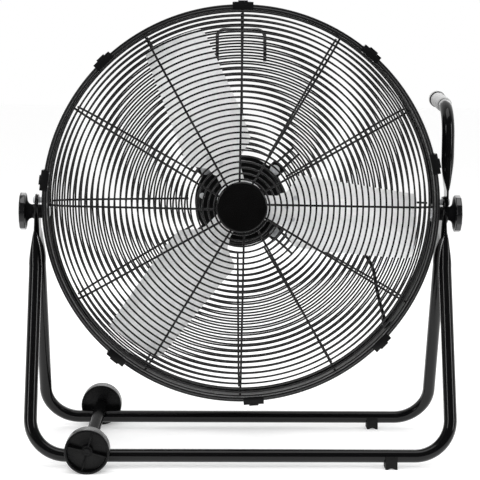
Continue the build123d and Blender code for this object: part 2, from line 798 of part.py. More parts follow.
def motor_front_shell():
    inner = motor_radius - motor_wall
    shape = rod(motor_radius, mount_plate_front, motor_front)
    shape = fillet(shape.edges().group_by(Axis.Z)[-1], motor_edge)
    shape -= rod(inner, mount_plate_front - cut_over, motor_front - motor_wall)
    seat_low = motor_front - motor_wall - bearing_width
    shape += ring(bearing_radius + bearing_seat_wall, bearing_radius + fit_gap,
                  seat_low, motor_front - motor_wall + fit_gap)
    shape -= rod(shaft_hole, motor_front - motor_wall - cut_over, motor_front + cut_over)
    for hole in bore_at(motor_bolt_places, motor_bolt_radius + fit_gap, mount_plate_front, motor_front):
        shape -= hole
    return shape - rod(gland_radius + fit_gap, -cut_over, motor_gland_length).moved(lead_start_place())


def motor_rear_shell():
    inner = rear_shell_radius - motor_wall
    shape = rod(rear_shell_radius, rear_shell_back, mount_plate_back)
    shape = fillet(shape.edges().group_by(Axis.Z)[0], motor_edge)
    shape += rod(motor_radius, rear_flange_back, mount_plate_back)
    shape -= rod(inner, rear_shell_back + motor_wall, mount_plate_back + cut_over)
    shape += ring(bearing_radius + bearing_seat_wall, bearing_radius + fit_gap,
                  rear_shell_back + motor_wall - fit_gap, rear_shell_back + motor_wall + bearing_width)
    for hole in bore_at(motor_bolt_places, motor_bolt_radius + fit_gap, rear_flange_back, mount_plate_back):
        shape -= hole
    return shape


def motor_mount_plate():
    shape = rod(mount_plate_radius, mount_plate_back, mount_plate_front)
    for angle in mount_ear_angles:
        ear = block(0, mount_ear_reach, -mount_ear_width / 2, mount_ear_width / 2,
                    mount_plate_back, mount_plate_front)
        shape += Rot(0, 0, angle) * ear
    shape -= rod(mount_plate_bore, mount_plate_back - cut_over, mount_plate_front + cut_over)
    for places in (motor_bolt_places, mount_screw_places):
        for hole in bore_at(places, motor_bolt_radius + fit_gap, mount_plate_back, mount_plate_front):
            shape -= hole
    return shape


def motor_bolt(x, y):
    head = rod(motor_bolt_head, motor_front, motor_front + motor_bolt_head_thick, x, y)
    head = fillet(head.edges().group_by(Axis.Z)[-1], motor_bolt_head_thick * dome_share)
    return head + rod(motor_bolt_radius, rear_flange_back - motor_nut_thick, motor_front, x, y)


def nut_at(top, x, y):
    shape = hexagon(motor_nut_radius, top - motor_nut_thick, top, x, y)
    return shape - rod(motor_bolt_radius + fit_gap, top - motor_nut_thick - cut_over, top + cut_over, x, y)


def mount_screw(x, y):
    seat = mount_plate_front + front_washer_thick
    head = rod(mount_screw_head, seat, seat + mount_screw_head_thick, x, y)
    head = fillet(head.edges().group_by(Axis.Z)[-1], mount_screw_head_thick * dome_share)
    return head + rod(motor_bolt_radius, mount_washer_back - motor_nut_thick, seat, x, y)


def mount_washer(x, y):
    half = mount_washer_side / 2
    shape = block(-half, half, -half, half, mount_washer_back, mount_washer_back + mount_washer_thick)
    shape = Pos(x, y, 0) * Rot(0, 0, math.degrees(math.atan2(y, x))) * shape
    return shape - rod(motor_bolt_radius + fit_gap, mount_washer_back - cut_over,
                       mount_washer_back + mount_washer_thick + cut_over, x, y)


def front_washer(x, y):
    return ring(mount_washer_side / 2, motor_bolt_radius + fit_gap,
                mount_plate_front, mount_plate_front + front_washer_thick, x, y)


def support_wires():
    # short wires in pairs between the ears of the mounting plate and the guard's rings
    wires = []
    for angle in mount_ear_angles:
        for side in (-1, 1):
            wire = Pos((support_inner + support_outer) / 2, side * support_spread / 2, -support_height)
            wire = wire * Rot(0, 90, 0) * Cylinder(support_wire, support_outer - support_inner)
            wires.append(Rot(0, 0, angle) * wire)
    return wires


def bearing(low):
    return ring(bearing_radius, shaft_radius + running_gap, low, low + bearing_width - fit_gap)


def stator_windings():
    return [
        ring(winding_outer, winding_inner, stator_front, stator_front + winding_height),
        ring(winding_outer, winding_inner, stator_back - winding_height, stator_back),
    ]


# ================================================================ what turns with the blades
def blade_place(angle):
    # local X runs out along the blade, Y across it, Z square to its sheet
    pitch = math.radians(blade_pitch)
    return Rot(0, 0, angle) * Plane(origin=(0, 0, 0), x_dir=(1, 0, 0),
                                    z_dir=(0, math.sin(pitch), math.cos(pitch))).location


def blade_sheet():
    # the folded and curved sheet, longer and wider than the blade, in the blade's frame
    bend = math.radians(blade_crease_bend)
    flange = blade_chord / 2
    edge_y = blade_crease - flange * math.cos(bend)
    edge_z = flange * math.sin(bend)
    turn = (blade_chord - blade_flat) / blade_camber_radius
    section = []
    for lift in (0.0, blade_thick):
        radius = blade_camber_radius - lift
        arc = [(0, blade_flat + radius * math.sin(turn * share), blade_camber_radius
                - radius * math.cos(turn * share)) for share in (0.0, 0.5, 1.0)]
        crease = (0, blade_crease - lift * math.tan(bend / 2), lift)
        edge = (0, edge_y - lift * math.sin(bend), edge_z + lift * math.cos(bend))
        section.append((edge, crease, arc))
    (edge_a, crease_a, arc_a), (edge_b, crease_b, arc_b) = section
    outline = Wire([
        Edge.make_line(edge_a, crease_a), Edge.make_line(crease_a, arc_a[0]),
        Edge.make_three_point_arc(*arc_a), Edge.make_line(arc_a[2], arc_b[2]),
        Edge.make_three_point_arc(*reversed(arc_b)), Edge.make_line(arc_b[0], crease_b),
        Edge.make_line(crease_b, edge_b), Edge.make_line(edge_b, edge_a),
    ])
    return Pos(blade_root, 0, 0) * extrude(Face(outline), blade_tip, dir=(1, 0, 0))


def blade(angle):
    outline = make_face(Polyline(*blade_outline, close=True)) & Circle(blade_tip)
    outline = fillet(outline.vertices(), blade_corner)
    prism = Pos(0, 0, -blade_chord) * extrude(outline, 2 * blade_chord)
    shape = blade_sheet().moved(blade_place(angle)) & (Rot(0, 0, angle) * prism)
    for x, y in rivet_places:
        hole = rod(rivet_radius + fit_gap, -cut_over, blade_thick + cut_over, x, y)
        shape -= hole.moved(blade_place(angle))
    return shape


def spider():
    shape = rod(spider_radius, -arm_thick / 2, arm_thick / 2) + rod(boss_radius, boss_back, boss_front)
    arm = make_face(Polyline(
        (arm_root, -arm_root_half), (arm_tip, -arm_tip_half), (arm_tip, arm_tip_half),
        (arm_root, arm_root_half), close=True,
    ))
    arm = fillet(arm.vertices(), blade_corner / 2)
    for angle in blade_angles:
        plate = Pos(0, 0, -arm_thick) * extrude(arm, arm_thick)
        for x, y in rivet_places:
            plate -= rod(rivet_radius + fit_gap, -arm_thick - cut_over, cut_over, x, y)
        shape += plate.moved(blade_place(angle))
    return shape - rod(shaft_radius + fit_gap, boss_back - cut_over, boss_front + cut_over)


def blade_rivets(angle):
    rivets = []
    for x, y in rivet_places:
        shape = rod(rivet_radius, -arm_thick, blade_thick, x, y)
        for seat, top in ((blade_thick, blade_thick + rivet_head_thick),
                          (-arm_thick - rivet_head_thick, -arm_thick)):
            shape += rod(rivet_head_radius, seat, top, x, y)
        rivets.append(shape.moved(blade_place(angle)))
    return rivets


def hub_nut():
    shape = hexagon(hub_nut_radius, boss_front, boss_front + hub_nut_thick)
    return shape - rod(shaft_radius + fit_gap, boss_front - cut_over, boss_front + hub_nut_thick + cut_over)


# ================================================================ switch, lead and wire loop
switch_back = rear_shell_back - switch_depth


def switch_box():
    outline = RectangleRounded(switch_width, switch_height, switch_corner)
    hollow = RectangleRounded(switch_width - 2 * switch_wall, switch_height - 2 * switch_wall,
                              switch_corner - switch_wall)
    shape = Pos(0, 0, switch_back) * extrude(outline, switch_depth)
    shape -= Pos(0, 0, switch_back + switch_wall) * extrude(hollow, switch_depth)
    return shape - rod(switch_shaft_radius + running_gap, switch_back - cut_over, rear_shell_back)


def switch_shaft():
    return rod(switch_shaft_radius, switch_back - switch_bore, switch_back + switch_shaft_run)


def switch_knob():
    back = switch_back - switch_knob_thick
    shape = rod(switch_knob_radius, switch_back - switch_skirt, switch_back - seat_gap)
    grip = block(-switch_grip_width / 2, switch_grip_width / 2, -switch_knob_radius, switch_knob_radius,
                 back, switch_back - switch_skirt)
    shape += grip & rod(switch_knob_radius - switch_grip_inset, back, switch_back)
    return shape - rod(switch_shaft_radius + fit_gap, switch_back - switch_bore, switch_back)


def motor_lead():
    points = [Vector(*point) for point in lead_route]
    runs = [(after - before).length for before, after in zip(points, points[1:])]
    radii = []
    for index in range(1, len(points) - 1):
        turn = (points[index] - points[index - 1]).get_angle(points[index + 1] - points[index])
        shorter = min(runs[index - 1], runs[index])
        radii.append(lead_bend_share * shorter / math.tan(math.radians(turn) / 2))
    print("lead bend radii", [round(radius) for radius in radii])
    path = FilletPolyline(*points, radius=radii)
    lead = wire_along(path, lead_radius)
    print("lead length", round(path.length), "volume against section times length",
          round(lead.volume / (math.pi * lead_radius ** 2 * path.length), 4))
    return lead


def wire_loop():
    low = -(guard_point(loop_low)[1] + ring_wire + weld_gap + loop_wire)
    path = FilletPolyline(
        (-loop_half_width, loop_low, low), (-loop_half_width, loop_knee, low),
        (-loop_half_width, loop_top, low - loop_stand), (loop_half_width, loop_top, low - loop_stand),
        (loop_half_width, loop_knee, low), (loop_half_width, loop_low, low),
        radius=[loop_knee_bend, loop_corner, loop_corner, loop_knee_bend],
    )
    return wire_along(path, loop_wire)


# ================================================================ all the pieces
sides = (-1, 1)
node("front_u_tube", u_tube(True))
node("rear_u_tube", u_tube(False))
node("axle_tube", axle_tube())
axle_end = retainer_outer - axle_end_sink
node("axle", y_rod(axle_radius, wheel_side, wheel_radius, -axle_end, axle_end))
node("axle_bushes", *[axle_ring(tube_radius - tube_wall - fit_gap, axle_radius + fit_gap, side,
                                axle_tube_reach - bush_length, axle_tube_reach) for side in sides])
node("wheel_washers", *[axle_ring(wheel_washer_radius, axle_radius + fit_gap, side,
                                  axle_tube_reach, axle_tube_reach + wheel_washer_thick) for side in sides])
node("wheel_retainers", *[axle_ring(retainer_radius, axle_radius + fit_gap, side,
                                    hub_outer + wheel_gap, retainer_outer) for side in sides])
node("front_wheel", wheel(-1))
node("rear_wheel", wheel(1))
node("front_foot", foot(-stand_depth / 2))
node("rear_foot", foot(stand_depth / 2))
node("handle_tube", handle_tube())
node("handle_grip", handle_grip())
node("leg_bolts", *[leg_bolt(side) for side in sides])
node("leg_nuts", *[leg_nut(side) for side in sides])
node("left_pivot_washer", pivot_washer(-1))
node("left_knob", knob(-1))
node("right_knob", knob(1))
node("left_knob_nut", knob_nut(-1))
node("right_knob_nut", knob_nut(1))

head_node("drum_shell", drum_shell())
head_node("pivot_plates", *[pivot_plate(side) for side in sides])
node("pivot_bolts", *[pivot_bolt(side) for side in sides])
node("pivot_spacers", *[pivot_spacer(side) for side in sides])
head_node("front_guard", *guard_rings(first_ring), *guard_spokes(spoke_inner))
head_node("rear_guard", *turned_back(guard_rings(rear_first_ring)),
          *turned_back(guard_spokes(rear_spoke_inner)))
head_node("hub_plate", hub_plate())
head_node("hub_cap", hub_cap())
head_node("hub_screws", *[hub_screw(x, y) for x, y in hub_screw_places])
head_node("guard_clips", *[guard_clip(angle) for angle in clip_angles])
head_node("clip_screws", *[screw for angle in clip_angles for screw in clip_screws(angle)])
head_node("motor_front_shell", motor_front_shell())
head_node("motor_rear_shell", motor_rear_shell())
head_node("motor_mount_plate", motor_mount_plate())
head_node("motor_bolts", *[motor_bolt(x, y) for x, y in motor_bolt_places])
head_node("motor_nuts", *[nut_at(rear_flange_back, x, y) for x, y in motor_bolt_places])
head_node("mount_screws", *[mount_screw(x, y) for x, y in mount_screw_places])
head_node("mount_washers", *[mount_washer(x, y) for x, y in mount_screw_places],
          *[front_washer(x, y) for x, y in mount_screw_places])
head_node("mount_nuts", *[nut_at(mount_washer_back, x, y) for x, y in mount_screw_places])
head_node("support_wires", *support_wires())
head_node("stator_core", ring(stator_radius, stator_bore, stator_back, stator_front))
head_node("stator_windings", *stator_windings())
head_node("front_bearing", bearing(motor_front - motor_wall - bearing_width))
head_node("rear_bearing", bearing(rear_shell_back + motor_wall))
head_node("switch_box", switch_box())
head_node("motor_lead", motor_lead())
head_node("motor_gland", rod(gland_radius, 0, motor_gland_length).moved(lead_start_place()))
head_node("wall_gland", rod(gland_radius, 0, wall_gland_length).moved(lead_end_place()))
head_node("wire_loop", wire_loop())

head_node("motor_shaft", rod(shaft_radius, rear_shell_back + motor_wall + cut_over, shaft_front))
head_node("rotor_core", ring(stator_bore - rotor_gap, shaft_radius, stator_back, stator_front))
head_node("blade_spider", spider())
for index, angle in enumerate(blade_angles):
    head_node(f"blade_{index + 1}", blade(angle))
head_node("blade_rivets", *[rivet for angle in blade_angles for rivet in blade_rivets(angle)])
head_node("hub_nut", hub_nut())
head_node("switch_knob", switch_knob())
head_node("switch_shaft", switch_shaft())
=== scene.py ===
import json
import math
import bmesh
import bpy
from mathutils import Matrix, Vector

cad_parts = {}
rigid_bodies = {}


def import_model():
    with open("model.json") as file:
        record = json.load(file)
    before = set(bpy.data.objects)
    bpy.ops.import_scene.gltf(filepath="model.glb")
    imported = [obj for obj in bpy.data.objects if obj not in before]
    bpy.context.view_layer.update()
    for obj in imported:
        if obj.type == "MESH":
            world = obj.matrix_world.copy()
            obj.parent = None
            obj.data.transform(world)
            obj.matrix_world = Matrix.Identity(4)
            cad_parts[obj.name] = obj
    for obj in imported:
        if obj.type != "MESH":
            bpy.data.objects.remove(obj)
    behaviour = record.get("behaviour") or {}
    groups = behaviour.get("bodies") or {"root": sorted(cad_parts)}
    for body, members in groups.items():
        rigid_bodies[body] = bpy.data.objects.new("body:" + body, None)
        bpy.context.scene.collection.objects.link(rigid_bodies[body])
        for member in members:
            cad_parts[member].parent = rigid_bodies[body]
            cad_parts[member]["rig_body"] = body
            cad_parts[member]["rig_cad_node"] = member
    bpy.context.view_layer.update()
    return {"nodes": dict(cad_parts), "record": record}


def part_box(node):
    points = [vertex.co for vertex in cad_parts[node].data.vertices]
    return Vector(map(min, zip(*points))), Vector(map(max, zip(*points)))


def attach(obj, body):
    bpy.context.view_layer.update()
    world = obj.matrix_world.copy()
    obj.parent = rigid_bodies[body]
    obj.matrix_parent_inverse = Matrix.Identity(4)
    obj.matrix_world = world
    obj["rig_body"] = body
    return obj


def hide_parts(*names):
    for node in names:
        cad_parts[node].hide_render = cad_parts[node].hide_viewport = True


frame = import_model()
mm = 0.001
print("frame loaded", len(frame["nodes"]), "nodes")


# the camera stands where the photograph was taken from
photoCamera = {
    "place": (-0.0639, -2.7239, 0.6507),
    "pitch": 5.970,            # degrees below the horizon
    "turn": -1.322,
    "roll": 0.449,
    "focalPixels": 1576.3,
    "imagePixels": 480,
    "sensor": 36.0,
}


def makeCamera(look):
    bpy.ops.object.camera_add()
    camera = bpy.context.object
    camera.name = "photoCamera"
    camera.data.sensor_width = look["sensor"]
    camera.data.lens = look["focalPixels"] * look["sensor"] / look["imagePixels"]
    camera.matrix_world = (Matrix.Translation(look["place"])
                           @ Matrix.Rotation(math.radians(look["turn"]), 4, "Z")
                           @ Matrix.Rotation(math.radians(90 - look["pitch"]), 4, "X")
                           @ Matrix.Rotation(math.radians(look["roll"]), 4, "Z"))
    bpy.context.scene.camera = camera


class Signal:                  # wraps a node's output, so that shader maths reads as an expression
    def __init__(self, tree, socket):
        self.tree = tree
        self.socket = socket

    def maths(self, operation, *others):
        return self.tree.add("ShaderNodeMath", {"operation": operation},
                             dict(enumerate((self,) + others)))

    def __add__(self, other):
        return self.maths("ADD", other)

    def __sub__(self, other):
        return self.maths("SUBTRACT", other)

    def __rsub__(self, other):
        return self.tree.add("ShaderNodeMath", {"operation": "SUBTRACT"}, {0: other, 1: self})

    def __mul__(self, other):
        return self.maths("MULTIPLY", other)

    __radd__ = __add__
    __rmul__ = __mul__

    def above(self, low, high):        # 0 under low, 1 over high, smooth between
        return self.tree.add("ShaderNodeMapRange", {"interpolation_type": "SMOOTHSTEP"},
                             {"Value": self, "From Min": low, "From Max": high})


class NodeTree:                # makes the nodes of a material or of the world
    def __init__(self, tree):
        self.tree = tree

    def add(self, kind, settings=None, values=None, output=0):
        node = self.tree.nodes.new(kind)
        for key, value in (settings or {}).items():
            setattr(node, key, value)
        for key, value in (values or {}).items():
            self.give(node.inputs[key], value)
        return Signal(self, node.outputs[output])

    def give(self, socket, value):
        if isinstance(value, Signal):
            self.tree.links.new(value.socket, socket)
        else:
            socket.default_value = value

    def colour(self, low, high, share):        # share 0 gives low and 1 gives high
        return self.add("ShaderNodeMix", {"data_type": "RGBA"},
                        {0: share, 6: (*low, 1), 7: (*high, 1)}, output=2)


white = (1, 1, 1, 1)
studio = {
    "floorSize": 60.0,
    "floorColour": (0.86, 0.86, 0.86),
    "floorRoughness": 0.9,
    "floorShine": 0.1,
    "darkFloor": (0.03, 0.03, 0.03),     # what gloss sees of the floor in front of the object
    "floorEdge": (-0.9, -0.1),           # the floor turns from dark to pale between these
    "floorLift": 0.28,         # seen by the camera and by gloss only, so that the floor is white
    "ambient": 0.83,
    "darkSide": 0.05,          # what gloss sees of the room behind the camera
    "brightSide": 0.85,        # and of the room behind the object
    "roomEdge": (-0.35, 0.45),           # the room turns from dark to bright between these
}
softboxes = (                  # name, place, aim, width, height, watts; the first one isn't seen in gloss
    ("frontSoftbox", (-0.3, -3.3, 2.0), (0, 0, 0.45), 1.4, 1.0, 58),
    ("leftSoftbox", (-2.6, -2.2, 1.5), (0, 0, 0.4), 0.45, 2.0, 22),
    ("rightSoftbox", (3.0, -1.6, 1.4), (0, 0, 0.4), 0.5, 2.0, 22),
    ("topSoftbox", (0.2, -0.6, 3.4), (0, 0, 0.3), 2.4, 1.6, 22),
    ("backSoftbox", (0.4, 3.0, 1.8), (0, 0, 0.4), 2.6, 1.8, 20),
)


def makeFloor():
    bpy.ops.mesh.primitive_plane_add(size=studio["floorSize"], location=(0, 0, 0))
    floor = bpy.context.object
    floor.name = "paleFloor"
    material = bpy.data.materials.new("floorPale")
    material.use_nodes = True
    tree = NodeTree(material.node_tree)
    shader = material.node_tree.nodes["Principled BSDF"]
    shader.inputs["Roughness"].default_value = studio["floorRoughness"]
    shader.inputs["Specular IOR Level"].default_value = studio["floorShine"]
    shader.inputs["Emission Color"].default_value = white
    seen = tree.add("ShaderNodeLightPath")
    glossy = tree.add("ShaderNodeLightPath", output="Is Glossy Ray")
    where = tree.add("ShaderNodeTexCoord", output="Object")
    depth = tree.add("ShaderNodeSeparateXYZ", None, {0: where}, output="Y")
    inFront = 1 - depth.above(*studio["floorEdge"])
    colour = tree.colour(studio["floorColour"], studio["darkFloor"], glossy * inFront)
    tree.give(shader.inputs["Base Color"], colour)
    tree.give(shader.inputs["Emission Strength"],
              seen.maths("MAXIMUM", glossy * (1 - inFront)) * studio["floorLift"])
    floor.data.materials.append(material)


def setView():
    bpy.context.scene.view_settings.view_transform = "Standard"


def lightWorld():
    world = bpy.data.worlds.new("paleStudio")
    bpy.context.scene.world = world
    world.use_nodes = True
    tree = NodeTree(world.node_tree)
    camera = tree.add("ShaderNodeLightPath")
    glossy = tree.add("ShaderNodeLightPath", output="Is Glossy Ray")
    direction = tree.add("ShaderNodeTexCoord")
    back = tree.add("ShaderNodeSeparateXYZ", None, {0: direction}, output="Y").above(*studio["roomEdge"])
    room = studio["darkSide"] + back * (studio["brightSide"] - studio["darkSide"])
    strength = camera + (1 - camera) * (glossy * room + (1 - glossy) * studio["ambient"])
    background = world.node_tree.nodes["Background"]
    background.inputs["Color"].default_value = white
    tree.give(background.inputs["Strength"], strength)


def makeSoftboxes():
    for name, place, aim, width, height, watts in softboxes:
        bpy.ops.object.light_add(type="AREA", location=place)
        lamp = bpy.context.object
        lamp.name = name
        lamp.data.shape = "RECTANGLE"
        lamp.data.size = width
        lamp.data.size_y = height
        lamp.data.energy = watts
        lamp.visible_glossy = name != softboxes[0][0]
        lamp.rotation_euler = (Vector(aim) - Vector(place)).to_track_quat("-Z", "Y").to_euler()


makeCamera(photoCamera)
setView()
makeFloor()
lightWorld()
makeSoftboxes()
print("camera, floor and light made")


class Finish(NodeTree):        # a material, with its Principled shader and usual patterns
    def __init__(self, name, **surface):
        self.material = bpy.data.materials.new(name)
        self.material.use_nodes = True
        super().__init__(self.material.node_tree)
        self.shader = self.material.node_tree.nodes["Principled BSDF"]
        for socket, value in surface.items():
            self.shader.inputs[socket.replace("_", " ")].default_value = value

    def put(self, socket, value):
        self.give(self.shader.inputs[socket], value)

    def place(self, stretch=(1, 1, 1)):
        where = self.add("ShaderNodeTexCoord", output="Object")
        return self.add("ShaderNodeMapping", None, {"Vector": where, "Scale": stretch})

    def noise(self, size, detail=3.0, stretch=(1, 1, 1)):      # size in metres
        return self.add("ShaderNodeTexNoise", None,
                        {"Vector": self.place(stretch), "Scale": 1 / size, "Detail": detail})

    def cells(self, size):
        return self.add("ShaderNodeTexVoronoi", None, {"Vector": self.place(), "Scale": 1 / size})

    def bump(self, height, depth):                             # depth in metres
        self.put("Normal", self.add("ShaderNodeBump", None,
                                    {"Height": height, "Distance": depth, "Strength": 1.0}))


def glossPaint():
    finish = Finish("glossPaint", Specular_IOR_Level=0.15, Coat_Roughness=0.06, Coat_IOR=1.45)
    flow = finish.noise(0.018, 2.0)
    dust = finish.noise(0.0011, 5.0).above(0.66, 0.74)
    haze = finish.noise(0.09, 4.0)
    finish.put("Base Color", finish.colour((0.002, 0.002, 0.0022), (0.014, 0.014, 0.015), dust * 0.7))
    finish.put("Roughness", 0.12 + haze * 0.10 + dust * 0.25)
    finish.put("Coat Weight", 0.45 - dust * 0.3)
    finish.bump(flow, 0.00012)
    return finish.material


def satinPaint(name, dark, light, rough, grain, depth, shine, ior=1.5):
    # grain is the size of its pebbles and depth their height, in metres
    finish = Finish(name, Specular_IOR_Level=shine, IOR=ior)
    pebble = finish.noise(grain, 3.0)
    patch = finish.noise(0.06, 4.0)
    finish.put("Base Color", finish.colour(dark, light, patch * 0.7 + pebble * 0.3))
    finish.put("Roughness", rough - 0.06 + patch * 0.12)
    finish.bump(pebble, depth)
    return finish.material


def mouldedPlastic(name, dark, light, rough):
    finish = Finish(name, Specular_IOR_Level=0.22)
    texture = finish.cells(0.0009)
    scuff = finish.noise(0.02, 6.0, (1, 1, 4)).above(0.60, 0.78)
    finish.put("Base Color", finish.colour(dark, light, scuff * 0.6 + texture * 0.2))
    finish.put("Roughness", rough + scuff * 0.12 - texture * 0.06)
    finish.bump(texture, 0.00006)
    return finish.material


def softRubber():
    finish = Finish("softRubber", Specular_IOR_Level=0.14)
    grain = finish.noise(0.0007, 2.0)
    bloom = finish.noise(0.012, 4.0)
    finish.put("Base Color", finish.colour((0.004, 0.004, 0.004), (0.014, 0.014, 0.014), bloom))
    finish.put("Roughness", 0.55 + bloom * 0.2)
    finish.bump(grain, 0.00008)
    return finish.material


def greyGrip(name="greyGrip", along=(0, 1, 0), ring=(9.0, 9.001)):
    # ring holds the low and high end of a black ring, in metres along the grip; left out, none shows
    edge = 0.0002
    finish = Finish(name, Specular_IOR_Level=0.35)
    grain = finish.noise(0.0008, 3.0)
    rubbed = finish.noise(0.02, 3.0)
    reach = finish.add("ShaderNodeVectorMath", {"operation": "DOT_PRODUCT"},
                       {0: finish.place(), 1: tuple(along)}, output="Value")
    black = reach.above(ring[0] - edge, ring[0]) * (1 - reach.above(ring[1], ring[1] + edge))
    colour = finish.colour((0.40, 0.40, 0.40), (0.54, 0.54, 0.535), rubbed)
    finish.put("Base Color", finish.add("ShaderNodeMix", {"data_type": "RGBA"},
                                        {0: black, 6: colour, 7: (0.006, 0.006, 0.006, 1)}, output=2))
    finish.put("Roughness", 0.5 + rubbed * 0.15)
    finish.bump(grain, 0.00008)
    return finish.material


def zincPlate():
    finish = Finish("zincPlate", Metallic=0.35)
    flake = finish.cells(0.0016)
    tone = finish.noise(0.006, 4.0)
    finish.put("Base Color", finish.colour((0.58, 0.59, 0.61), (0.84, 0.85, 0.86), tone))
    finish.put("Roughness", 0.26 + flake * 0.14)
    finish.bump(flake, 0.00003)
    return finish.material


def turnedSteel():
    finish = Finish("turnedSteel", Metallic=1.0)
    tone = finish.noise(0.004, 4.0, (1, 6, 1))
    finish.put("Base Color", finish.colour((0.34, 0.34, 0.35), (0.52, 0.52, 0.53), tone))
    finish.put("Roughness", 0.28 + tone * 0.16)
    finish.bump(tone, 0.00003)
    return finish.material


def rolledAluminium(name, angle, dark, light):
    # rolled along the blade: angle turns the pattern to that blade, in degrees
    finish = Finish(name, Metallic=0.05, Specular_IOR_Level=0.4)
    where = finish.add("ShaderNodeTexCoord", output="Object")
    along = finish.add("ShaderNodeMapping", {"vector_type": "TEXTURE"},
                       {"Vector": where, "Rotation": (0, -math.radians(angle), 0), "Scale": (6, 1, 1)})
    streak = finish.add("ShaderNodeTexNoise", None, {"Vector": along, "Scale": 260.0, "Detail": 4.0})
    mottle = finish.noise(0.011, 4.0)
    spangle = finish.cells(0.006)
    tone = streak * 0.45 + mottle * 0.4 + spangle * 0.15
    finish.put("Base Color", finish.colour(dark, light, tone.above(0.25, 0.75)))
    finish.put("Roughness", 0.36 + mottle * 0.16)
    finish.bump(streak, 0.00003)
    return finish.material


def enamelledCopper():
    finish = Finish("enamelledCopper", Metallic=0.9, Coat_Roughness=0.15)
    turns = finish.add("ShaderNodeTexWave", {"wave_type": "RINGS", "rings_direction": "Y"},
                       {"Vector": finish.place(), "Scale": 420.0, "Distortion": 1.2})
    tone = finish.noise(0.01)
    finish.put("Base Color", finish.colour((0.45, 0.17, 0.07), (0.72, 0.34, 0.17), tone))
    finish.put("Roughness", 0.3 + turns * 0.2)
    finish.put("Coat Weight", 0.3 + tone * 0.3)
    finish.bump(turns, 0.0003)
    return finish.material


finishes = {
    "tube_black": glossPaint(),
    "drum_black": satinPaint("drumPaint", (0.002, 0.002, 0.0022), (0.006, 0.006, 0.0065),
                             rough=0.30, grain=0.0012, depth=0.00008, shine=0.22),
    "guard_wire": satinPaint("wirePaint", (0.006, 0.006, 0.0062), (0.012, 0.012, 0.0125),
                             rough=0.26, grain=0.0009, depth=0.00004, shine=0.5),
    "motor_black": satinPaint("motorPaint", (0.001, 0.001, 0.0011), (0.004, 0.004, 0.0042),
                              rough=0.36, grain=0.0010, depth=0.00010, shine=0.25),
    "moulded_black": mouldedPlastic("mouldedBlack", (0.002, 0.002, 0.0022), (0.010, 0.010, 0.0105), 0.30),
    "rubber_black": softRubber(),
    "grip_grey": greyGrip(),
    "zinc": zincPlate(),
    "steel": turnedSteel(),
    "blade_aluminium": rolledAluminium("bladeAluminium", 0, (0.82, 0.82, 0.825), (0.93, 0.93, 0.93)),
    "copper": enamelledCopper(),
    "lead_black": mouldedPlastic("leadJacket", (0.003, 0.003, 0.003), (0.009, 0.009, 0.009), 0.42),
}


def finishNodes():
    for part in frame["record"]["subparts"]:
        node = frame["nodes"][part["node"]]
        material = finishes[part["material_slot"]]
        if not node.material_slots:
            node.data.materials.append(material)
        for slot in node.material_slots:
            slot.material = material


slotOf = {part["node"]: part["material_slot"] for part in frame["record"]["subparts"]}
bodyOf = {name: body for body, names in frame["record"]["behaviour"]["bodies"].items() for name in names}
finishNodes()
print("finishes made")


skinGap = 0.00001              # points of a made piece nearer than this become one
seamGap = 0.00002              # and those of two mirrored halves
cadGap = 0.000005              # and those of a CAD node's copy
levelGap = 0.000001            # a point this near to a height is at it


def deselectAll():
    if bpy.context.object and bpy.context.object.mode == "EDIT":
        bpy.ops.object.mode_set(mode="OBJECT")
    bpy.ops.object.select_all(action="DESELECT")


def chooseOnly(piece):
    deselectAll()
    piece.select_set(True)
    bpy.context.view_layer.objects.active = piece


def editMesh():
    bpy.ops.object.mode_set(mode="EDIT")


def leaveEdit():
    bpy.ops.object.mode_set(mode="OBJECT")


def settle(piece, place=None):
    # puts the piece's place into its mesh
    chooseOnly(piece)
    if place is not None:
        piece.matrix_world = place @ piece.matrix_world
    bpy.ops.object.transform_apply(location=True, rotation=True, scale=True)


def applyModifier(piece, kind, **settings):
    chooseOnly(piece)
    modifier = piece.modifiers.new(kind.lower(), kind)
    for key, value in settings.items():
        setattr(modifier, key, value)
    bpy.ops.object.modifier_apply(modifier=modifier.name)


def softenEdges(piece, width, segments=2, angle=35):
    applyModifier(piece, "BEVEL", width=width, segments=segments, limit_method="ANGLE",
                  angle_limit=math.radians(angle), harden_normals=False)


def smooth(piece, angle=35):
    chooseOnly(piece)
    bpy.ops.object.shade_smooth_by_angle(angle=math.radians(angle))


def cleanUp():
    # in edit mode: one closed skin with its faces outwards
    bpy.ops.mesh.select_all(action="SELECT")
    bpy.ops.mesh.remove_doubles(threshold=skinGap)
    bpy.ops.mesh.normals_make_consistent(inside=False)


def joined(name, pieces):
    deselectAll()
    for piece in pieces:
        piece.select_set(True)
    bpy.context.view_layer.objects.active = pieces[0]
    bpy.ops.object.join()
    pieces[0].name = name
    pieces[0].data.name = name
    return pieces[0]


def dress(piece, name, *nodes, material=None):
    # the piece stands for these nodes and takes their body and finish
    piece.name = name
    piece.data.name = name
    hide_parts(*nodes)
    slot = slotOf[nodes[0]]
    piece.data.materials.clear()
    piece.data.materials.append(material or finishes[slot])
    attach(piece, bodyOf[nodes[0]])
    return piece


def lathe(points, steps):
    # turns (radius, height) points about Z, from a vertex pushed along the outline
    deselectAll()
    bpy.ops.mesh.primitive_plane_add(size=1)
    piece = bpy.context.object
    editMesh()
    bpy.ops.mesh.merge(type="CENTER")
    bpy.ops.mesh.select_all(action="SELECT")
    bpy.ops.transform.translate(value=(points[0][0], 0, points[0][1]))
    for before, after in zip(points, points[1:]):
        pushTube((after[0] - before[0], 0, after[1] - before[1]))
    bpy.ops.mesh.select_all(action="SELECT")
    bpy.ops.mesh.spin(steps=steps, angle=2 * math.pi, center=(0, 0, 0), axis=(0, 0, 1))
    cleanUp()
    leaveEdit()
    return piece


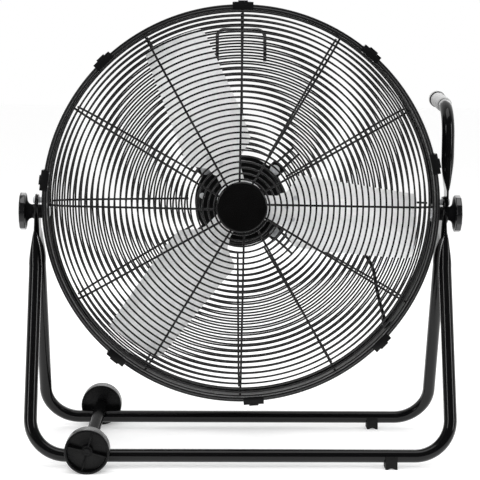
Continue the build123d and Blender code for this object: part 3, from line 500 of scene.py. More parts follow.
def arcPoints(centre, radius, start, end, count):
    # (radius, height) points on an arc, angles in degrees
    angles = [math.radians(start + (end - start) * index / count) for index in range(count + 1)]
    return [(centre[0] + radius * math.cos(a), centre[1] + radius * math.sin(a)) for a in angles]


def startTube(radius, centre, direction, sides):
    deselectAll()
    turn = Vector(direction).to_track_quat("Z", "Y").to_euler()
    bpy.ops.mesh.primitive_circle_add(vertices=sides, radius=radius, location=centre, rotation=turn)
    piece = bpy.context.object
    settle(piece)
    editMesh()
    bpy.ops.mesh.select_all(action="SELECT")
    return piece


def pushTube(offset):
    bpy.ops.mesh.extrude_region_move(TRANSFORM_OT_translate={"value": tuple(offset)})


def bendTube(centre, axis, angle, steps):
    # the spin turns the other way about its axis
    bpy.ops.mesh.spin(steps=steps, angle=-angle, center=tuple(centre), axis=tuple(axis))


def closeEnds():
    # in edit mode: caps the open rings and turns all faces outwards
    bpy.ops.mesh.select_all(action="DESELECT")
    bpy.ops.mesh.select_mode(type="EDGE")
    bpy.ops.mesh.select_non_manifold()
    bpy.ops.mesh.edge_face_add()
    bpy.ops.mesh.select_mode(type="VERT")
    cleanUp()


def markSection(piece, across, wide):
    # every point of the first ring keeps its angle, and so do the rings pushed out of it
    mesh = bmesh.from_edit_mesh(piece.data)
    layer = mesh.verts.layers.float.new("sectionAngle")
    middle = sum((v.co for v in mesh.verts), Vector()) / len(mesh.verts)
    for v in mesh.verts:
        away = v.co - middle
        v[layer] = math.atan2(away.dot(Vector(wide)), away.dot(Vector(across)))
    bmesh.update_edit_mesh(piece.data)


def shapeRing(piece, centre, across, wide, halfThick, halfWide, flatness):
    # the chosen ring gets a section between a round tube (0) and a flattened one (1)
    mesh = bmesh.from_edit_mesh(piece.data)
    layer = mesh.verts.layers.float["sectionAngle"]
    corner = math.sqrt(0.5)
    for v in [v for v in mesh.verts if v.select]:
        c, s = math.cos(v[layer]), math.sin(v[layer])
        flat = max(-1.0, min(1.0, c / corner))
        x = halfThick * (c + (flat - c) * flatness)
        z = halfThick * s + (halfWide - halfThick) * max(-1.0, min(1.0, s / corner))
        v.co = Vector(centre) + Vector(across) * x + Vector(wide) * z
    bmesh.update_edit_mesh(piece.data)


def chooseRing(piece, wanted):
    # in edit mode: selects the points that wanted(place) is true for, and the edges between them
    bpy.ops.mesh.select_all(action="DESELECT")
    mesh = bmesh.from_edit_mesh(piece.data)
    for v in mesh.verts:
        v.select = wanted(v.co)
    mesh.select_flush(True)
    bmesh.update_edit_mesh(piece.data)


def wipeSection(piece):
    piece.data.attributes.remove(piece.data.attributes["sectionAngle"])


def cadCopy(node, flatAngle=1.0):
    # a copy of a CAD node's mesh as one skin with whole faces
    source = frame["nodes"][node]
    chooseOnly(source)
    bpy.ops.object.duplicate()
    piece = bpy.context.object
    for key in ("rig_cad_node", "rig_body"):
        del piece[key]
    piece.parent = None
    piece.matrix_world = Matrix.Identity(4)
    editMesh()
    bpy.ops.mesh.select_all(action="SELECT")
    bpy.ops.mesh.remove_doubles(threshold=cadGap)
    bpy.ops.mesh.dissolve_limited(angle_limit=math.radians(flatAngle))
    leaveEdit()
    return piece


stand = {
    "tube": 11.0 * mm,
    "reach": 352.0 * mm,       # from the middle to a leg's axis
    "corner": 62.0 * mm,
    "lift": 20.5 * mm,         # the bottom runs' axis over the floor
    "depth": 302.0 * mm,
    "pivot": 414.0 * mm,
    "plate": 3.5 * mm,         # thickness of a flattened end
    "plateWidth": 34.0 * mm,
    "plateRun": 39.0 * mm,
    "taper": 60.0 * mm,
    "taperSteps": 12,
    "lap": 14.0 * mm,          # a flattened end's straight run past the pivot
    "joint": 351.75 * mm,      # from the middle to where the two tubes lie on each other
    "sides": 40,
    "bendSteps": 20,
    "tipSteps": 8,
}


def taperSection(share):
    # share 0 is the round end and 1 the flat one
    flatness = share ** 2
    halfThick = stand["tube"] + (stand["plate"] / 2 - stand["tube"]) * flatness
    halfWide = stand["tube"] + (stand["plateWidth"] / 2 - stand["tube"]) * flatness
    return halfThick, halfWide, flatness


def roundTip(piece, start, along, across, wide):
    # pushes the flattened end out to its half-round tip
    radius = stand["plateWidth"] / 2
    for index in range(1, stand["tipSteps"] + 1):
        angle = math.pi / 2 * index / stand["tipSteps"]
        bpy.ops.mesh.extrude_region_move()
        halfWide = max(radius * math.cos(angle), stand["plate"] / 2)
        centre = Vector(start) + Vector(along) * radius * math.sin(angle)
        shapeRing(piece, centre, across, wide, stand["plate"] / 2, halfWide, 1.0)


def makeUTube(front):
    # one half is bent up from the middle of the bottom run, then mirrored
    toe = -stand["depth"] / 2 if front else stand["depth"] / 2
    rise = stand["pivot"] - stand["lift"]
    length = math.hypot(toe, rise)
    roundEnd = length - stand["plateRun"] - stand["taper"]
    middle = stand["joint"] + (stand["plate"] / 2 if front else -stand["plate"] / 2)
    piece = startTube(stand["tube"], (0, 0, 0), (1, 0, 0), stand["sides"])
    markSection(piece, (0, -1, 0), (0, 0, 1))
    bendStart = stand["reach"] - stand["corner"]
    pushTube((bendStart, 0, 0))
    bendTube((bendStart, stand["corner"], 0), (0, 0, 1), math.pi / 2, stand["bendSteps"])
    pushTube((0, roundEnd - stand["corner"], 0))
    for index in range(1, stand["taperSteps"] + 1):
        share = index / stand["taperSteps"]
        x = stand["reach"] + (middle - stand["reach"]) * math.sqrt(share)
        y = roundEnd + stand["taper"] * share
        bpy.ops.mesh.extrude_region_move()
        shapeRing(piece, (x, y, 0), (1, 0, 0), (0, 0, 1), *taperSection(share))
    tipStart = length + stand["lap"]
    pushTube((0, tipStart - roundEnd - stand["taper"], 0))
    roundTip(piece, (middle, tipStart, 0), (0, 1, 0), (1, 0, 0), (0, 0, 1))
    bpy.ops.mesh.edge_face_add()
    leaveEdit()
    wipeSection(piece)
    applyModifier(piece, "MIRROR", use_mirror_merge=True, merge_threshold=seamGap)
    editMesh()
    cleanUp()
    leaveEdit()
    up = Vector((0, -toe, rise)).normalized()
    normal = Vector((1, 0, 0)).cross(up)
    leaning = Matrix((Vector((1, 0, 0)), up, normal)).transposed().to_4x4()
    settle(piece, Matrix.Translation((0, toe, stand["lift"])) @ leaning)
    smooth(piece, 40)
    name = "front_u_tube" if front else "rear_u_tube"
    return dress(piece, name + "_bent", name)


handle = {
    "reach": 358.0 * mm,
    "corner": 596.0 * mm,      # height where its upright's and its top run's axes would meet
    "bend": 55.0 * mm,
    "back": 140.0 * mm,
    "rise": math.radians(6.0),
    "flat": 40.0 * mm,
}
handleTurn = math.pi / 2 - handle["rise"]
handleReach = handle["bend"] * math.tan(handleTurn / 2)        # from the corner to the bend's ends
handleRun = handle["back"] / math.cos(handle["rise"]) - handleReach


def makeHandle():
    top = stand["pivot"] + handle["flat"] + stand["taper"]
    middle = stand["joint"] + 1.5 * stand["plate"]
    piece = startTube(stand["tube"], (handle["reach"], 0, top), (0, 0, 1), stand["sides"])
    markSection(piece, (1, 0, 0), (0, 1, 0))
    bendStart = handle["corner"] - handleReach
    pushTube((0, 0, bendStart - top))
    bendTube((handle["reach"], handle["bend"], bendStart), (-1, 0, 0), handleTurn, stand["bendSteps"])
    pushTube((0, handleRun * math.cos(handle["rise"]), handleRun * math.sin(handle["rise"])))
    bpy.ops.mesh.edge_face_add()
    chooseRing(piece, lambda co: abs(co.z - top) < levelGap)
    for index in range(1, stand["taperSteps"] + 1):
        share = index / stand["taperSteps"]
        x = handle["reach"] + (middle - handle["reach"]) * share
        bpy.ops.mesh.extrude_region_move()
        shapeRing(piece, (x, 0, top - stand["taper"] * share), (1, 0, 0), (0, 1, 0), *taperSection(share))
    pushTube((0, 0, -handle["flat"]))
    roundTip(piece, (middle, 0, stand["pivot"]), (0, 0, -1), (1, 0, 0), (0, 1, 0))
    bpy.ops.mesh.edge_face_add()
    cleanUp()
    leaveEdit()
    wipeSection(piece)
    smooth(piece, 40)
    return dress(piece, "handle_tube_bent", "handle_tube")


grip = {
    "radius": 13.4 * mm,
    "fit": 0.1 * mm,           # between the sleeve and the tube
    "start": 3.0 * mm,         # from the tube's bend
    "startWall": 1.0 * mm,     # how far its inner face goes in
    "startRound": 0.8 * mm,
    "groove": 2.0 * mm,
    "grooveDeep": 1.2 * mm,
    "grooveEdge": 0.5 * mm,
    "flange": 12.0 * mm,
    "flangeRadius": 15.0 * mm,
    "flangeRound": 1.2 * mm,
    "end": 3.0 * mm,           # past the tube's end
    "endRound": 3.5 * mm,
    "ringBefore": 5.0 * mm,    # the black ring starts this far before the groove
    "ringPast": 0.2 * mm,
    "sides": 48,
}


def makeGrip():
    end = handleRun + grip["end"]
    low = end - grip["flange"]
    grooveLow = low - grip["groove"]
    inner = stand["tube"] + grip["fit"]
    narrow = grip["radius"] - grip["grooveDeep"]
    first, flange, last = grip["startRound"], grip["flangeRound"], grip["endRound"]
    outline = [(inner, grip["start"] + grip["startWall"]), (inner, grip["start"])]
    outline += arcPoints((grip["radius"] - first, grip["start"] + first), first, -90, 0, 4)
    outline += [(grip["radius"], grooveLow - grip["grooveEdge"]),
                (grip["radius"] - grip["grooveEdge"], grooveLow), (narrow, grooveLow), (narrow, low)]
    outline += arcPoints((grip["flangeRadius"] - flange, low + flange), flange, -90, 0, 5)
    outline += arcPoints((grip["flangeRadius"] - last, end - last), last, 0, 90, 8)
    outline += [(0, end)]
    piece = lathe(outline, grip["sides"])
    along = Vector((0, math.cos(handle["rise"]), math.sin(handle["rise"])))
    start = Vector((handle["reach"], 0, handle["corner"])) + along * handleReach
    settle(piece, Matrix.Translation(start) @ Matrix.Rotation(-handleTurn, 4, "X"))
    smooth(piece, 40)
    reach = start.dot(along)
    ring = (reach + grooveLow - grip["ringBefore"], reach + low + grip["ringPast"])
    return dress(piece, "handle_grip_sleeve", "handle_grip", material=greyGrip("ringedGrip", along, ring))


makeUTube(True)
makeUTube(False)
makeHandle()
makeGrip()
print("stand tubes made")


wheel = {
    "side": -253.0 * mm,
    "radius": 37.0 * mm,
    "width": 30.0 * mm,
    "wall": 3.5 * mm,
    "webLow": 10.0 * mm,       # the web's inner and outer face, from the wheel's inner face
    "webHigh": 13.0 * mm,
    "hub": 9.0 * mm,
    "hubTop": 22.0 * mm,
    "axle": 4.05 * mm,
    "inner": 170.0 * mm,       # from the middle to the inner face
    "treadRound": 1.2 * mm,
    "webRound": 2.0 * mm,
    "hubRound": 1.5 * mm,
    "chamfer": 0.6 * mm,
    "lip": 0.5 * mm,
    "sides": 96,
}
ribs = {
    "count": 4,
    "turn": 75.0,
    "thick": 1.8 * mm,
    "top": 24.0 * mm,
    "sink": 1.0 * mm,          # into the hub; half of it goes into the web and half over the top
    "slope": 3.0 * mm,         # a rib's outer end stands this much higher
    "bevel": 0.4 * mm,
}


def wheelPlace(end):
    facing = Matrix(((1, 0, 0), (0, 0, end), (0, -end, 0))).to_4x4()
    return Matrix.Translation((wheel["side"], end * wheel["inner"], wheel["radius"])) @ facing


def makeRib(angle):
    deselectAll()
    low, high = wheel["hub"] - ribs["sink"], wheel["radius"] - wheel["wall"] / 2
    middle = (wheel["webHigh"] + ribs["top"]) / 2
    height = ribs["top"] - wheel["webHigh"] + ribs["sink"]
    bpy.ops.mesh.primitive_cube_add(size=1, location=((low + high) / 2, 0, middle),
                                    scale=(high - low, ribs["thick"], height))
    rib = bpy.context.object
    settle(rib)
    editMesh()
    chooseRing(rib, lambda co: co.x > (low + high) / 2 and co.z > middle)
    bpy.ops.transform.translate(value=(0, 0, ribs["slope"]))
    leaveEdit()
    softenEdges(rib, ribs["bevel"])
    settle(rib, Matrix.Rotation(math.radians(angle), 4, "Z"))
    return rib


def makeWheel(end, name):
    edge, rim = wheel["radius"], wheel["radius"] - wheel["wall"]
    tread, web, fillet = wheel["treadRound"], wheel["webRound"], wheel["hubRound"]
    chamfer, lip = wheel["chamfer"], wheel["lip"]
    outline = [(wheel["axle"], 0), (wheel["hub"], 0), (wheel["hub"], wheel["webLow"]),
               (rim, wheel["webLow"]), (rim, chamfer), (rim + chamfer, 0)]
    outline += arcPoints((edge - tread, tread), tread, -90, 0, 4)
    outline += arcPoints((edge - tread, wheel["width"] - tread), tread, 0, 90, 4)
    outline += [(rim + lip, wheel["width"]), (rim, wheel["width"] - lip)]
    outline += arcPoints((rim - web, wheel["webHigh"] + web), web, 0, -90, 4)
    outline += arcPoints((wheel["hub"] + fillet, wheel["webHigh"] + fillet), fillet, -90, -180, 4)
    outline += [(wheel["hub"], wheel["hubTop"] - chamfer), (wheel["hub"] - chamfer, wheel["hubTop"]),
                (wheel["axle"], wheel["hubTop"]), (wheel["axle"], 0)]
    pieces = [lathe(outline, wheel["sides"])]
    pieces += [makeRib(ribs["turn"] + 360 / ribs["count"] * index) for index in range(ribs["count"])]
    piece = joined(name, pieces)
    settle(piece, wheelPlace(end))
    smooth(piece, 30)
    return dress(piece, name + "_moulded", name)


retainer = {
    "gap": 0.3 * mm,           # from the wheel's hub
    "radius": 6.5 * mm,
    "high": 3.0 * mm,
    "chamfer": 0.5 * mm,
    "edge": 1.2 * mm,
    "dome": 1.9 * mm,
    "dimpleWide": 3.6 * mm,    # radius of the dimple in its top, and of the dimple's floor
    "dimpleNarrow": 3.2 * mm,
    "dimpleDeep": 0.6 * mm,
    "dish": 0.2 * mm,
    "sides": 32,
}


def makeRetainers():
    # push-on caps over the axle's ends
    radius, chamfer, dome, narrow = (retainer[key] for key in ("radius", "chamfer", "dome", "dimpleNarrow"))
    pieces = []
    for end in (-1, 1):
        low = wheel["hubTop"] + retainer["gap"]
        top = low + retainer["high"]
        floor = top - retainer["dimpleDeep"]
        outline = [(narrow, low), (radius - chamfer, low), (radius, low + chamfer),
                   (radius, low + retainer["edge"])]
        outline += arcPoints((radius - dome, top - dome), dome, 0, 90, 6)
        outline += [(retainer["dimpleWide"], top), (narrow, floor), (0, floor - retainer["dish"]),
                    (0, low), (narrow, low)]
        piece = lathe(outline, retainer["sides"])
        settle(piece, wheelPlace(end))
        pieces.append(piece)
    piece = joined("wheel_retainers_domed", pieces)
    smooth(piece)
    return dress(piece, "wheel_retainers_domed", "wheel_retainers", material=finishes["moulded_black"])


def refine(node, bevel, material=None):
    # the CAD shape with edges softened by bevel, in millimetres, and smooth round faces
    piece = cadCopy(node)
    if bevel:
        softenEdges(piece, bevel * mm, angle=30)
    smooth(piece, 30)
    return dress(piece, node + "_finished", node, material=material)


def refineAll(bevels):
    for node, bevel in bevels.items():
        refine(node, bevel)


makeWheel(-1, "front_wheel")
makeWheel(1, "rear_wheel")
makeRetainers()
refineAll({"front_foot": 0.8, "rear_foot": 0.8, "axle": 0.4, "wheel_washers": 0.2, "pivot_spacers": 0,
           "left_pivot_washer": 0.3})
refine("axle_tube", 0, satinPaint("axlePaint", (0.001, 0.001, 0.0011), (0.004, 0.004, 0.0042),
                                  rough=0.10, grain=0.0010, depth=0.00004, shine=0.4, ior=1.04))
print("wheels and feet made")


knob = {
    "face": 358.75 * mm,       # from the middle to the neck's end
    "bore": 5.1 * mm,
    "neck": 12.0 * mm,
    "neckHigh": 2.5 * mm,
    "chamfer": 0.6 * mm,
    "cone": 30.0 * mm,
    "coneHigh": 9.8 * mm,
    "coneSteps": 8,
    "sink": 1.0 * mm,          # of the flare into the rim
    "rim": 32.5 * mm,
    "rimHigh": 10.0 * mm,
    "rimBevel": 1.4 * mm,
    "facets": 12,
    "dish": 20.0 * mm,
    "dishDeep": 1.5 * mm,
    "dishSteps": (0.5 * mm, 0.8 * mm),
    "blend": 0.4 * mm,         # the polish sets in from this far before the rim to this far past it
    "sides": 64,
}
rimLow = knob["neckHigh"] + knob["coneHigh"]


def knobPlace(side):
    facing = Matrix(((0, 0, side), (1, 0, 0), (0, side, 0))).to_4x4()
    return Matrix.Translation((side * knob["face"], 0, stand["pivot"])) @ facing


def knobPlastic():
    # a dull flare under a polished rim
    finish = Finish("knobPlastic", Specular_IOR_Level=0.4, IOR=1.04, Coat_Roughness=0.08, Coat_IOR=1.65)
    texture = finish.noise(0.0009)
    reach = finish.add("ShaderNodeSeparateXYZ", None, {0: finish.place()}, output="X").maths("ABSOLUTE")
    start, blend = knob["face"] + rimLow, knob["blend"]
    finish.put("Base Color", finish.colour((0.002, 0.002, 0.0022), (0.008, 0.008, 0.0085), texture))
    finish.put("Roughness", 0.3 + texture * 0.1)
    finish.put("Coat Weight", reach.above(start - blend, start + blend))
    finish.bump(texture, 0.00002)
    return finish.material


def makeFlare():
    # hollow, and a quarter of an ellipse
    bore, top = knob["bore"], rimLow + knob["sink"]
    outline = [(bore, 0), (knob["neck"] - knob["chamfer"], 0), (knob["neck"], knob["chamfer"])]
    for index in range(knob["coneSteps"] + 1):
        angle = math.pi / 2 * index / knob["coneSteps"]
        outline.append((knob["cone"] + (knob["neck"] - knob["cone"]) * math.cos(angle),
                        knob["neckHigh"] + knob["coneHigh"] * math.sin(angle)))
    outline += [(knob["cone"], top), (bore, top), (bore, 0)]
    return lathe(outline, knob["sides"])


def makeKnob(side, name, material):
    flare = makeFlare()
    deselectAll()
    bpy.ops.mesh.primitive_cylinder_add(vertices=knob["facets"], radius=knob["rim"], depth=knob["rimHigh"],
                                        location=(0, 0, rimLow + knob["rimHigh"] / 2))
    rim = bpy.context.object
    settle(rim)
    softenEdges(rim, knob["rimBevel"], 4, 20)
    editMesh()
    bpy.ops.mesh.select_mode(type="FACE")
    mesh = bmesh.from_edit_mesh(rim.data)
    bpy.ops.mesh.select_all(action="DESELECT")
    for face in mesh.faces:
        face.select = face.normal.z > 0.99         # the flat outer face alone
    bmesh.update_edit_mesh(rim.data)
    reach = (knob["rim"] - knob["rimBevel"]) * math.cos(math.pi / knob["facets"])
    bpy.ops.mesh.inset(thickness=reach - knob["dish"])
    for step in knob["dishSteps"]:
        bpy.ops.mesh.inset(thickness=step, depth=-knob["dishDeep"] / len(knob["dishSteps"]))
    bpy.ops.mesh.select_mode(type="VERT")
    cleanUp()
    leaveEdit()
    piece = joined(name, [rim, flare])
    settle(piece, knobPlace(side))
    smooth(piece, 24)
    return dress(piece, name + "_moulded", name, material=material)


polished = knobPlastic()
makeKnob(-1, "left_knob", polished)
makeKnob(1, "right_knob", polished)
print("knobs made")


# the drum, guards, hub and motor are made about Z with their front up, and headPlace stands them up
drum = {
    "outer": 338.5 * mm,
    "inner": 337.3 * mm,
    "bead": 3.6 * mm,
    "beadRadius": 337.4 * mm,
    "beadHigh": 36.4 * mm,
    "beadSteps": 24,
    "sides": 192,
    "lift": 429.0 * mm,        # the drum's axis over the floor
}
headPlace = Matrix.Translation((0, 0, drum["lift"])) @ Matrix.Rotation(math.pi / 2, 4, "X")


def makeDrum():
    # a rolled sheet with a wired bead at each edge
    def meets(radius):
        return math.degrees(math.acos((radius - drum["beadRadius"]) / drum["bead"]))
    outside, inside = meets(drum["outer"]), meets(drum["inner"])
    middle, high, bead, steps = (drum[key] for key in ("beadRadius", "beadHigh", "bead", "beadSteps"))
    top = arcPoints((middle, high), bead, -outside, 360 - inside, steps)
    bottom = arcPoints((middle, -high), bead, inside, 360 - outside, steps)
    piece = lathe(top + bottom + [top[0]], drum["sides"])
    settle(piece, headPlace)
    smooth(piece, 40)
    return dress(piece, "drum_shell_rolled", "drum_shell")


guard = {
    "ringWire": 1.6 * mm,
    "spokeWire": 1.9 * mm,
    "rimWire": 2.5 * mm,
    "pitch": 9.9 * mm,
    "frontFirst": 47.0 * mm,
    "rearFirst": 93.9 * mm,
    "rim": 334.5 * mm,
    "rimHigh": 42.8 * mm,
    "crown": 9000.0 * mm,
    "knuckleStart": 280.0 * mm,
    "knuckle": 70.0 * mm,
    "slope": math.radians(40.0),
    "spokes": 12,
    "frontInner": 34.0 * mm,
    "rearInner": 91.4 * mm,
    "swirl": math.radians(0.8),
    "sink": 3.9 * mm,          # the spokes' axis lies this far under the rings'
    "spokeEnd": 0.4 * mm,      # from a spoke's end to the rim's wire
    "knuckleSteps": 8,
    "wireSides": 10,
    "ringSides": 72,           # a ring has these and one more for each ringStretch of its radius
    "ringStretch": 4.5 * mm,
    "weld": 1.9 * mm,
    "weldShape": (0.8, 1.0, 0.9),
}
crownAngle = math.asin(guard["knuckleStart"] / guard["crown"])
crownRun = guard["crown"] * crownAngle
knuckleRun = guard["knuckle"] * (guard["slope"] - crownAngle)
crownDrop = guard["crown"] * (1 - math.cos(crownAngle))
knuckleDrop = guard["knuckle"] * (math.cos(crownAngle) - math.cos(guard["slope"]))
knuckleEnd = guard["knuckleStart"] + guard["knuckle"] * (math.sin(guard["slope"]) - math.sin(crownAngle))
skirtRun = (guard["rim"] - knuckleEnd) / math.cos(guard["slope"])
guardFace = guard["rimHigh"] + crownDrop + knuckleDrop + skirtRun * math.sin(guard["slope"])


def guardPoint(run, sink=0.0):
    # (radius, height) on the guard's curve, run metres from its centre, sink under it
    if run <= crownRun:
        slope = run / guard["crown"]
        radius = guard["crown"] * math.sin(slope)
        height = guardFace - guard["crown"] * (1 - math.cos(slope))
    else:
        slope = crownAngle + min(run - crownRun, knuckleRun) / guard["knuckle"]
        rest = max(run - crownRun - knuckleRun, 0.0)
        radius = guard["knuckleStart"] + guard["knuckle"] * (math.sin(slope) - math.sin(crownAngle))
        radius += rest * math.cos(slope)
        height = guardFace - crownDrop - guard["knuckle"] * (math.cos(crownAngle) - math.cos(slope))
        height -= rest * math.sin(slope)
    return radius - sink * math.sin(slope), height - sink * math.cos(slope)


def guardRuns(first):
    runs = [first]
    while guardPoint(runs[-1] + guard["pitch"])[0] < guard["rim"] - guard["pitch"] / 2:
        runs.append(runs[-1] + guard["pitch"])
    return runs


def addRing(radius, height, wire):
    bpy.ops.mesh.primitive_torus_add(
        location=(0, 0, height), major_radius=radius, minor_radius=wire,
        major_segments=guard["ringSides"] + round(radius / guard["ringStretch"]),
        minor_segments=guard["wireSides"])


def makeSpoke(first, runs):
    # one spoke bent along the guard's curve, with a weld under each ring
    steps = guard["knuckleSteps"]
    last = crownRun + knuckleRun + skirtRun - guard["rimWire"] - guard["spokeEnd"]
    stops = [first + (crownRun - first) * share for share in (0, 0.5, 1)]
    stops += [crownRun + knuckleRun * index / steps for index in range(1, steps + 1)] + [last]
    places = [guardPoint(run, guard["sink"]) for run in stops]
    start = places[0]
    piece = startTube(guard["spokeWire"], (start[0], 0, start[1]), (1, 0, 0), guard["wireSides"])
    for before, after in zip(places, places[1:]):
        pushTube((after[0] - before[0], 0, after[1] - before[1]))
    closeEnds()
    for run in runs:
        radius, height = guardPoint(run, guard["sink"] / 2)
        bpy.ops.mesh.primitive_uv_sphere_add(segments=8, ring_count=5, radius=guard["weld"],
                                             location=(radius, 0, height), scale=guard["weldShape"])
    leaveEdit()
    turn = (Matrix.Translation((guard["rim"], 0, 0)) @ Matrix.Rotation(-guard["swirl"], 4, "Z")
            @ Matrix.Translation((-guard["rim"], 0, 0)))
    settle(piece, turn)
    return piece


def makeGuard(name, firstRing, firstSpoke, backward):
    runs = guardRuns(firstRing)
    spoke = makeSpoke(firstSpoke, runs)
    editMesh()
    bpy.ops.mesh.select_all(action="SELECT")
    bpy.ops.mesh.spin(steps=guard["spokes"], dupli=True, angle=2 * math.pi,
                      center=(0, 0, 0), axis=(0, 0, 1))
    cleanUp()
    for run in runs:
        radius, height = guardPoint(run)
        addRing(radius, height, guard["ringWire"])
    addRing(guard["rim"], guard["rimHigh"], guard["rimWire"])
    leaveEdit()
    settle(spoke, headPlace @ Matrix.Rotation(math.pi if backward else 0, 4, "Y"))
    smooth(spoke, 60)
    return dress(spoke, name + "_wires", name)


makeDrum()
makeGuard("front_guard", guard["frontFirst"], guard["frontInner"], False)
makeGuard("rear_guard", guard["rearFirst"], guard["rearInner"], True)
print("drum and guards made")


hub = {
    "radius": 43.5 * mm,
    "back": 71.6 * mm,
    "front": 82.0 * mm,
    "bevel": 4.0 * mm,
    "wall": 2.0 * mm,
    "chamfer": 0.4 * mm,
    "faceEdge": 6.0 * mm,      # from the rim to where the face starts to dip
    "faceStep": 0.1 * mm,
    "faceDip": 0.25 * mm,
    "sides": 96,
}


def hubPlastic():
    finish = Finish("hubPlastic", Specular_IOR_Level=0.5)
    texture = finish.noise(0.0008, 3.0)
    haze = finish.noise(0.03, 4.0)
    finish.put("Base Color", finish.colour((0.0005, 0.0005, 0.0005), (0.002, 0.002, 0.002), haze))
    finish.put("Roughness", 0.14 + haze * 0.08)
    finish.bump(texture, 0.00001)
    return finish.material


def makeHubCap():
    radius, front, back, bevel, wall = (hub[key] for key in ("radius", "front", "back", "bevel", "wall"))
    inner = radius - wall
    outline = [(0, front - wall), (inner - bevel, front - wall), (inner, front - bevel - wall / 2),
               (inner, back), (radius - hub["chamfer"], back), (radius, back + hub["chamfer"])]
    outline += arcPoints((radius - bevel, front - bevel), bevel, 0, 90, 10)
    outline += [(radius - hub["faceEdge"], front - hub["faceStep"]), (0, front - hub["faceDip"])]
    piece = lathe(outline, hub["sides"])
    settle(piece, headPlace)
    smooth(piece, 40)
    return dress(piece, "hub_cap_moulded", "hub_cap", material=hubPlastic())


motor = {
    "radius": 73.0 * mm,
    "front": -24.0 * mm,
    "edge": 4.0 * mm,
    "wall": 2.5 * mm,
    "rearRadius": 62.5 * mm,
    "rearBack": -112.0 * mm,
    "flange": 2.5 * mm,
    "flangeRound": 0.6 * mm,
    "flangeFoot": 1.5 * mm,
    "hole": 9.0 * mm,
    "holeChamfer": 0.5 * mm,
    "dish": 1.2 * mm,          # depth of the ring pressed into each cover, with its four radii below
    "frontDish": (24.0 * mm, 26.5 * mm, 50.0 * mm, 53.0 * mm),
    "rearDish": (22.0 * mm, 24.0 * mm, 46.0 * mm, 48.0 * mm),
    "sides": 96,
}
plateLow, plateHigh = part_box("motor_mount_plate")
motor["plateFront"] = -plateLow[1]
motor["plateBack"] = -plateHigh[1]
heads = {                      # top is a head's height; arm and deep are its cross recess's reach and depth
    "motor_bolts": {"circle": 68.0 * mm, "angles": (110.0, 170.0, 230.0, 350.0),
                    "top": motor["front"] + 3.2 * mm, "arm": 3.0 * mm, "deep": 1.4 * mm},
    "mount_screws": {"circle": 82.3 * mm, "angles": (42.0, 138.0, 222.0, 318.0),
                     "top": motor["plateFront"] + 4.4 * mm, "arm": 4.03 * mm, "deep": 1.6 * mm},
}
cross = {
    "wide": 0.34,              # an arm's width is this share of its length
    "turn": 20,
    "turnStep": 37,            # each next head is turned on by this
}


def makeShell(node, outline):
    piece = lathe(outline, motor["sides"])
    settle(piece, headPlace)
    smooth(piece, 30)
    return dress(piece, node + "_drawn", node)


def makeFrontShell():
    front, wall, edge, radius, hole = (motor[key] for key in ("front", "wall", "edge", "radius", "hole"))
    dish, rim = front - motor["dish"], radius - edge
    outline = [(hole, front - wall), (hole, front - motor["holeChamfer"]),
               (hole + motor["holeChamfer"], front)]
    outline += list(zip(motor["frontDish"], (front, dish, dish, front)))
    outline += arcPoints((rim, front - edge), edge, 90, 0, 8)
    outline += [(radius, motor["plateFront"]), (radius - wall, motor["plateFront"]),
                (radius - wall, dish - edge), (rim - wall, dish - wall), (hole, dish - wall),
                (hole, front - wall)]
    return makeShell("motor_front_shell", outline)


def makeRearShell():
    back, wall, edge, radius = (motor[key] for key in ("rearBack", "wall", "edge", "rearRadius"))
    dish, plateBack, corner = back + motor["dish"], motor["plateBack"], motor["flangeRound"]
    flangeLow = plateBack - motor["flange"]
    outline = [(0, back)] + list(zip(motor["rearDish"], (back, dish, dish, back)))
    outline += arcPoints((radius - edge, back + edge), edge, -90, 0, 8)
    outline += [(radius, flangeLow - motor["flangeFoot"]), (radius + motor["flangeFoot"], flangeLow)]
    outline += arcPoints((motor["radius"] - corner, flangeLow + corner), corner, -90, 0, 3)
    outline += [(motor["radius"], plateBack), (radius - wall, plateBack), (radius - wall, back + 2 * wall),
                (0, back + 2 * wall), (0, back)]
    return makeShell("motor_rear_shell", outline)


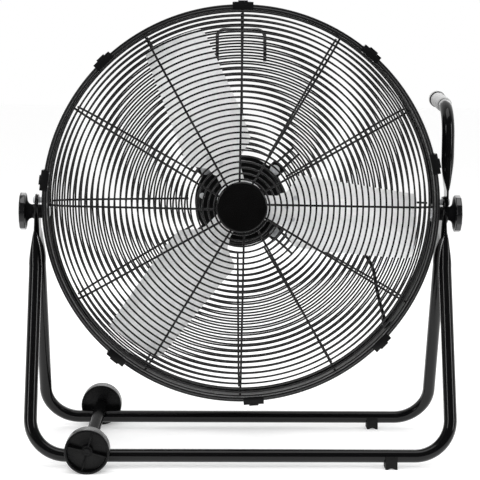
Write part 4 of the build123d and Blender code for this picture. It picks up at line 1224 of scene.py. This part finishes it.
def cutCross(piece, head):
    # a cross recess in every head, cut by crossed bars
    size = (2 * head["arm"], cross["wide"] * head["arm"], 2 * head["deep"])
    bars = []
    for index, angle in enumerate(head["angles"]):
        away = Matrix.Translation((head["circle"], 0, head["top"]))
        place = Matrix.Rotation(math.radians(angle), 4, "Z") @ away
        first = cross["turn"] + cross["turnStep"] * index
        for turn in (first, first + 90):
            deselectAll()
            bpy.ops.mesh.primitive_cube_add(size=1, scale=size)
            bar = bpy.context.object
            settle(bar, headPlace @ place @ Matrix.Rotation(math.radians(turn), 4, "Z"))
            bars.append(bar)
    cutter = joined("crossCutter", bars)
    applyModifier(piece, "BOOLEAN", object=cutter, operation="DIFFERENCE", solver="EXACT", use_self=True)
    chooseOnly(cutter)
    bpy.ops.object.delete()


def makeHeads():
    for node, head in heads.items():
        piece = cadCopy(node)
        cutCross(piece, head)
        smooth(piece, 30)
        dress(piece, node + "_recessed", node)


makeHubCap()
makeFrontShell()
makeRearShell()
makeHeads()
refineAll({"motor_mount_plate": 0.5, "mount_washers": 0.25, "mount_nuts": 0.4, "motor_nuts": 0.4,
           "support_wires": 0, "hub_plate": 0.4, "switch_box": 1.2, "switch_knob": 0.8, "motor_lead": 0,
           "motor_gland": 0.8, "wall_gland": 0.8, "wire_loop": 0, "motor_shaft": 0.4})
print("motor and hub made")


# the three blades are one aluminium sheet; their colour pairs differ only as painted light and shade, and
# blade_3's darker pair is painted shade
blades = {
    "blade_1": {"angle": -8.0, "dark": (0.84, 0.84, 0.845), "light": (0.95, 0.95, 0.95)},
    "blade_2": {"angle": 112.0, "dark": (0.85, 0.85, 0.855), "light": (0.96, 0.96, 0.96)},
    "blade_3": {"angle": 232.0, "dark": (0.76, 0.76, 0.765), "light": (0.90, 0.90, 0.90)},
}
bladeEdge = 0.35 * mm


def makeBlade(name, look):
    piece = cadCopy(name, 0.1)
    softenEdges(piece, bladeEdge, angle=50)
    smooth(piece, 25)
    # each blade gets its own copy of the aluminium, carrying its painted light or shade
    finish = rolledAluminium(name + "Sheet", **look)
    return dress(piece, name + "_sheet", name, material=finish)


for name, look in blades.items():
    makeBlade(name, look)
refine("blade_spider", 0.5, finishes["blade_aluminium"])
refineAll({"blade_rivets": 0.9, "hub_nut": 0.6})
print("blades made")

refineAll({"guard_clips": 0.6, "clip_screws": 0.5, "pivot_plates": 0.5, "pivot_bolts": 0, "leg_bolts": 0,
           "leg_nuts": 0.5, "left_knob_nut": 0.5, "right_knob_nut": 0.5})
print("small hardware made")
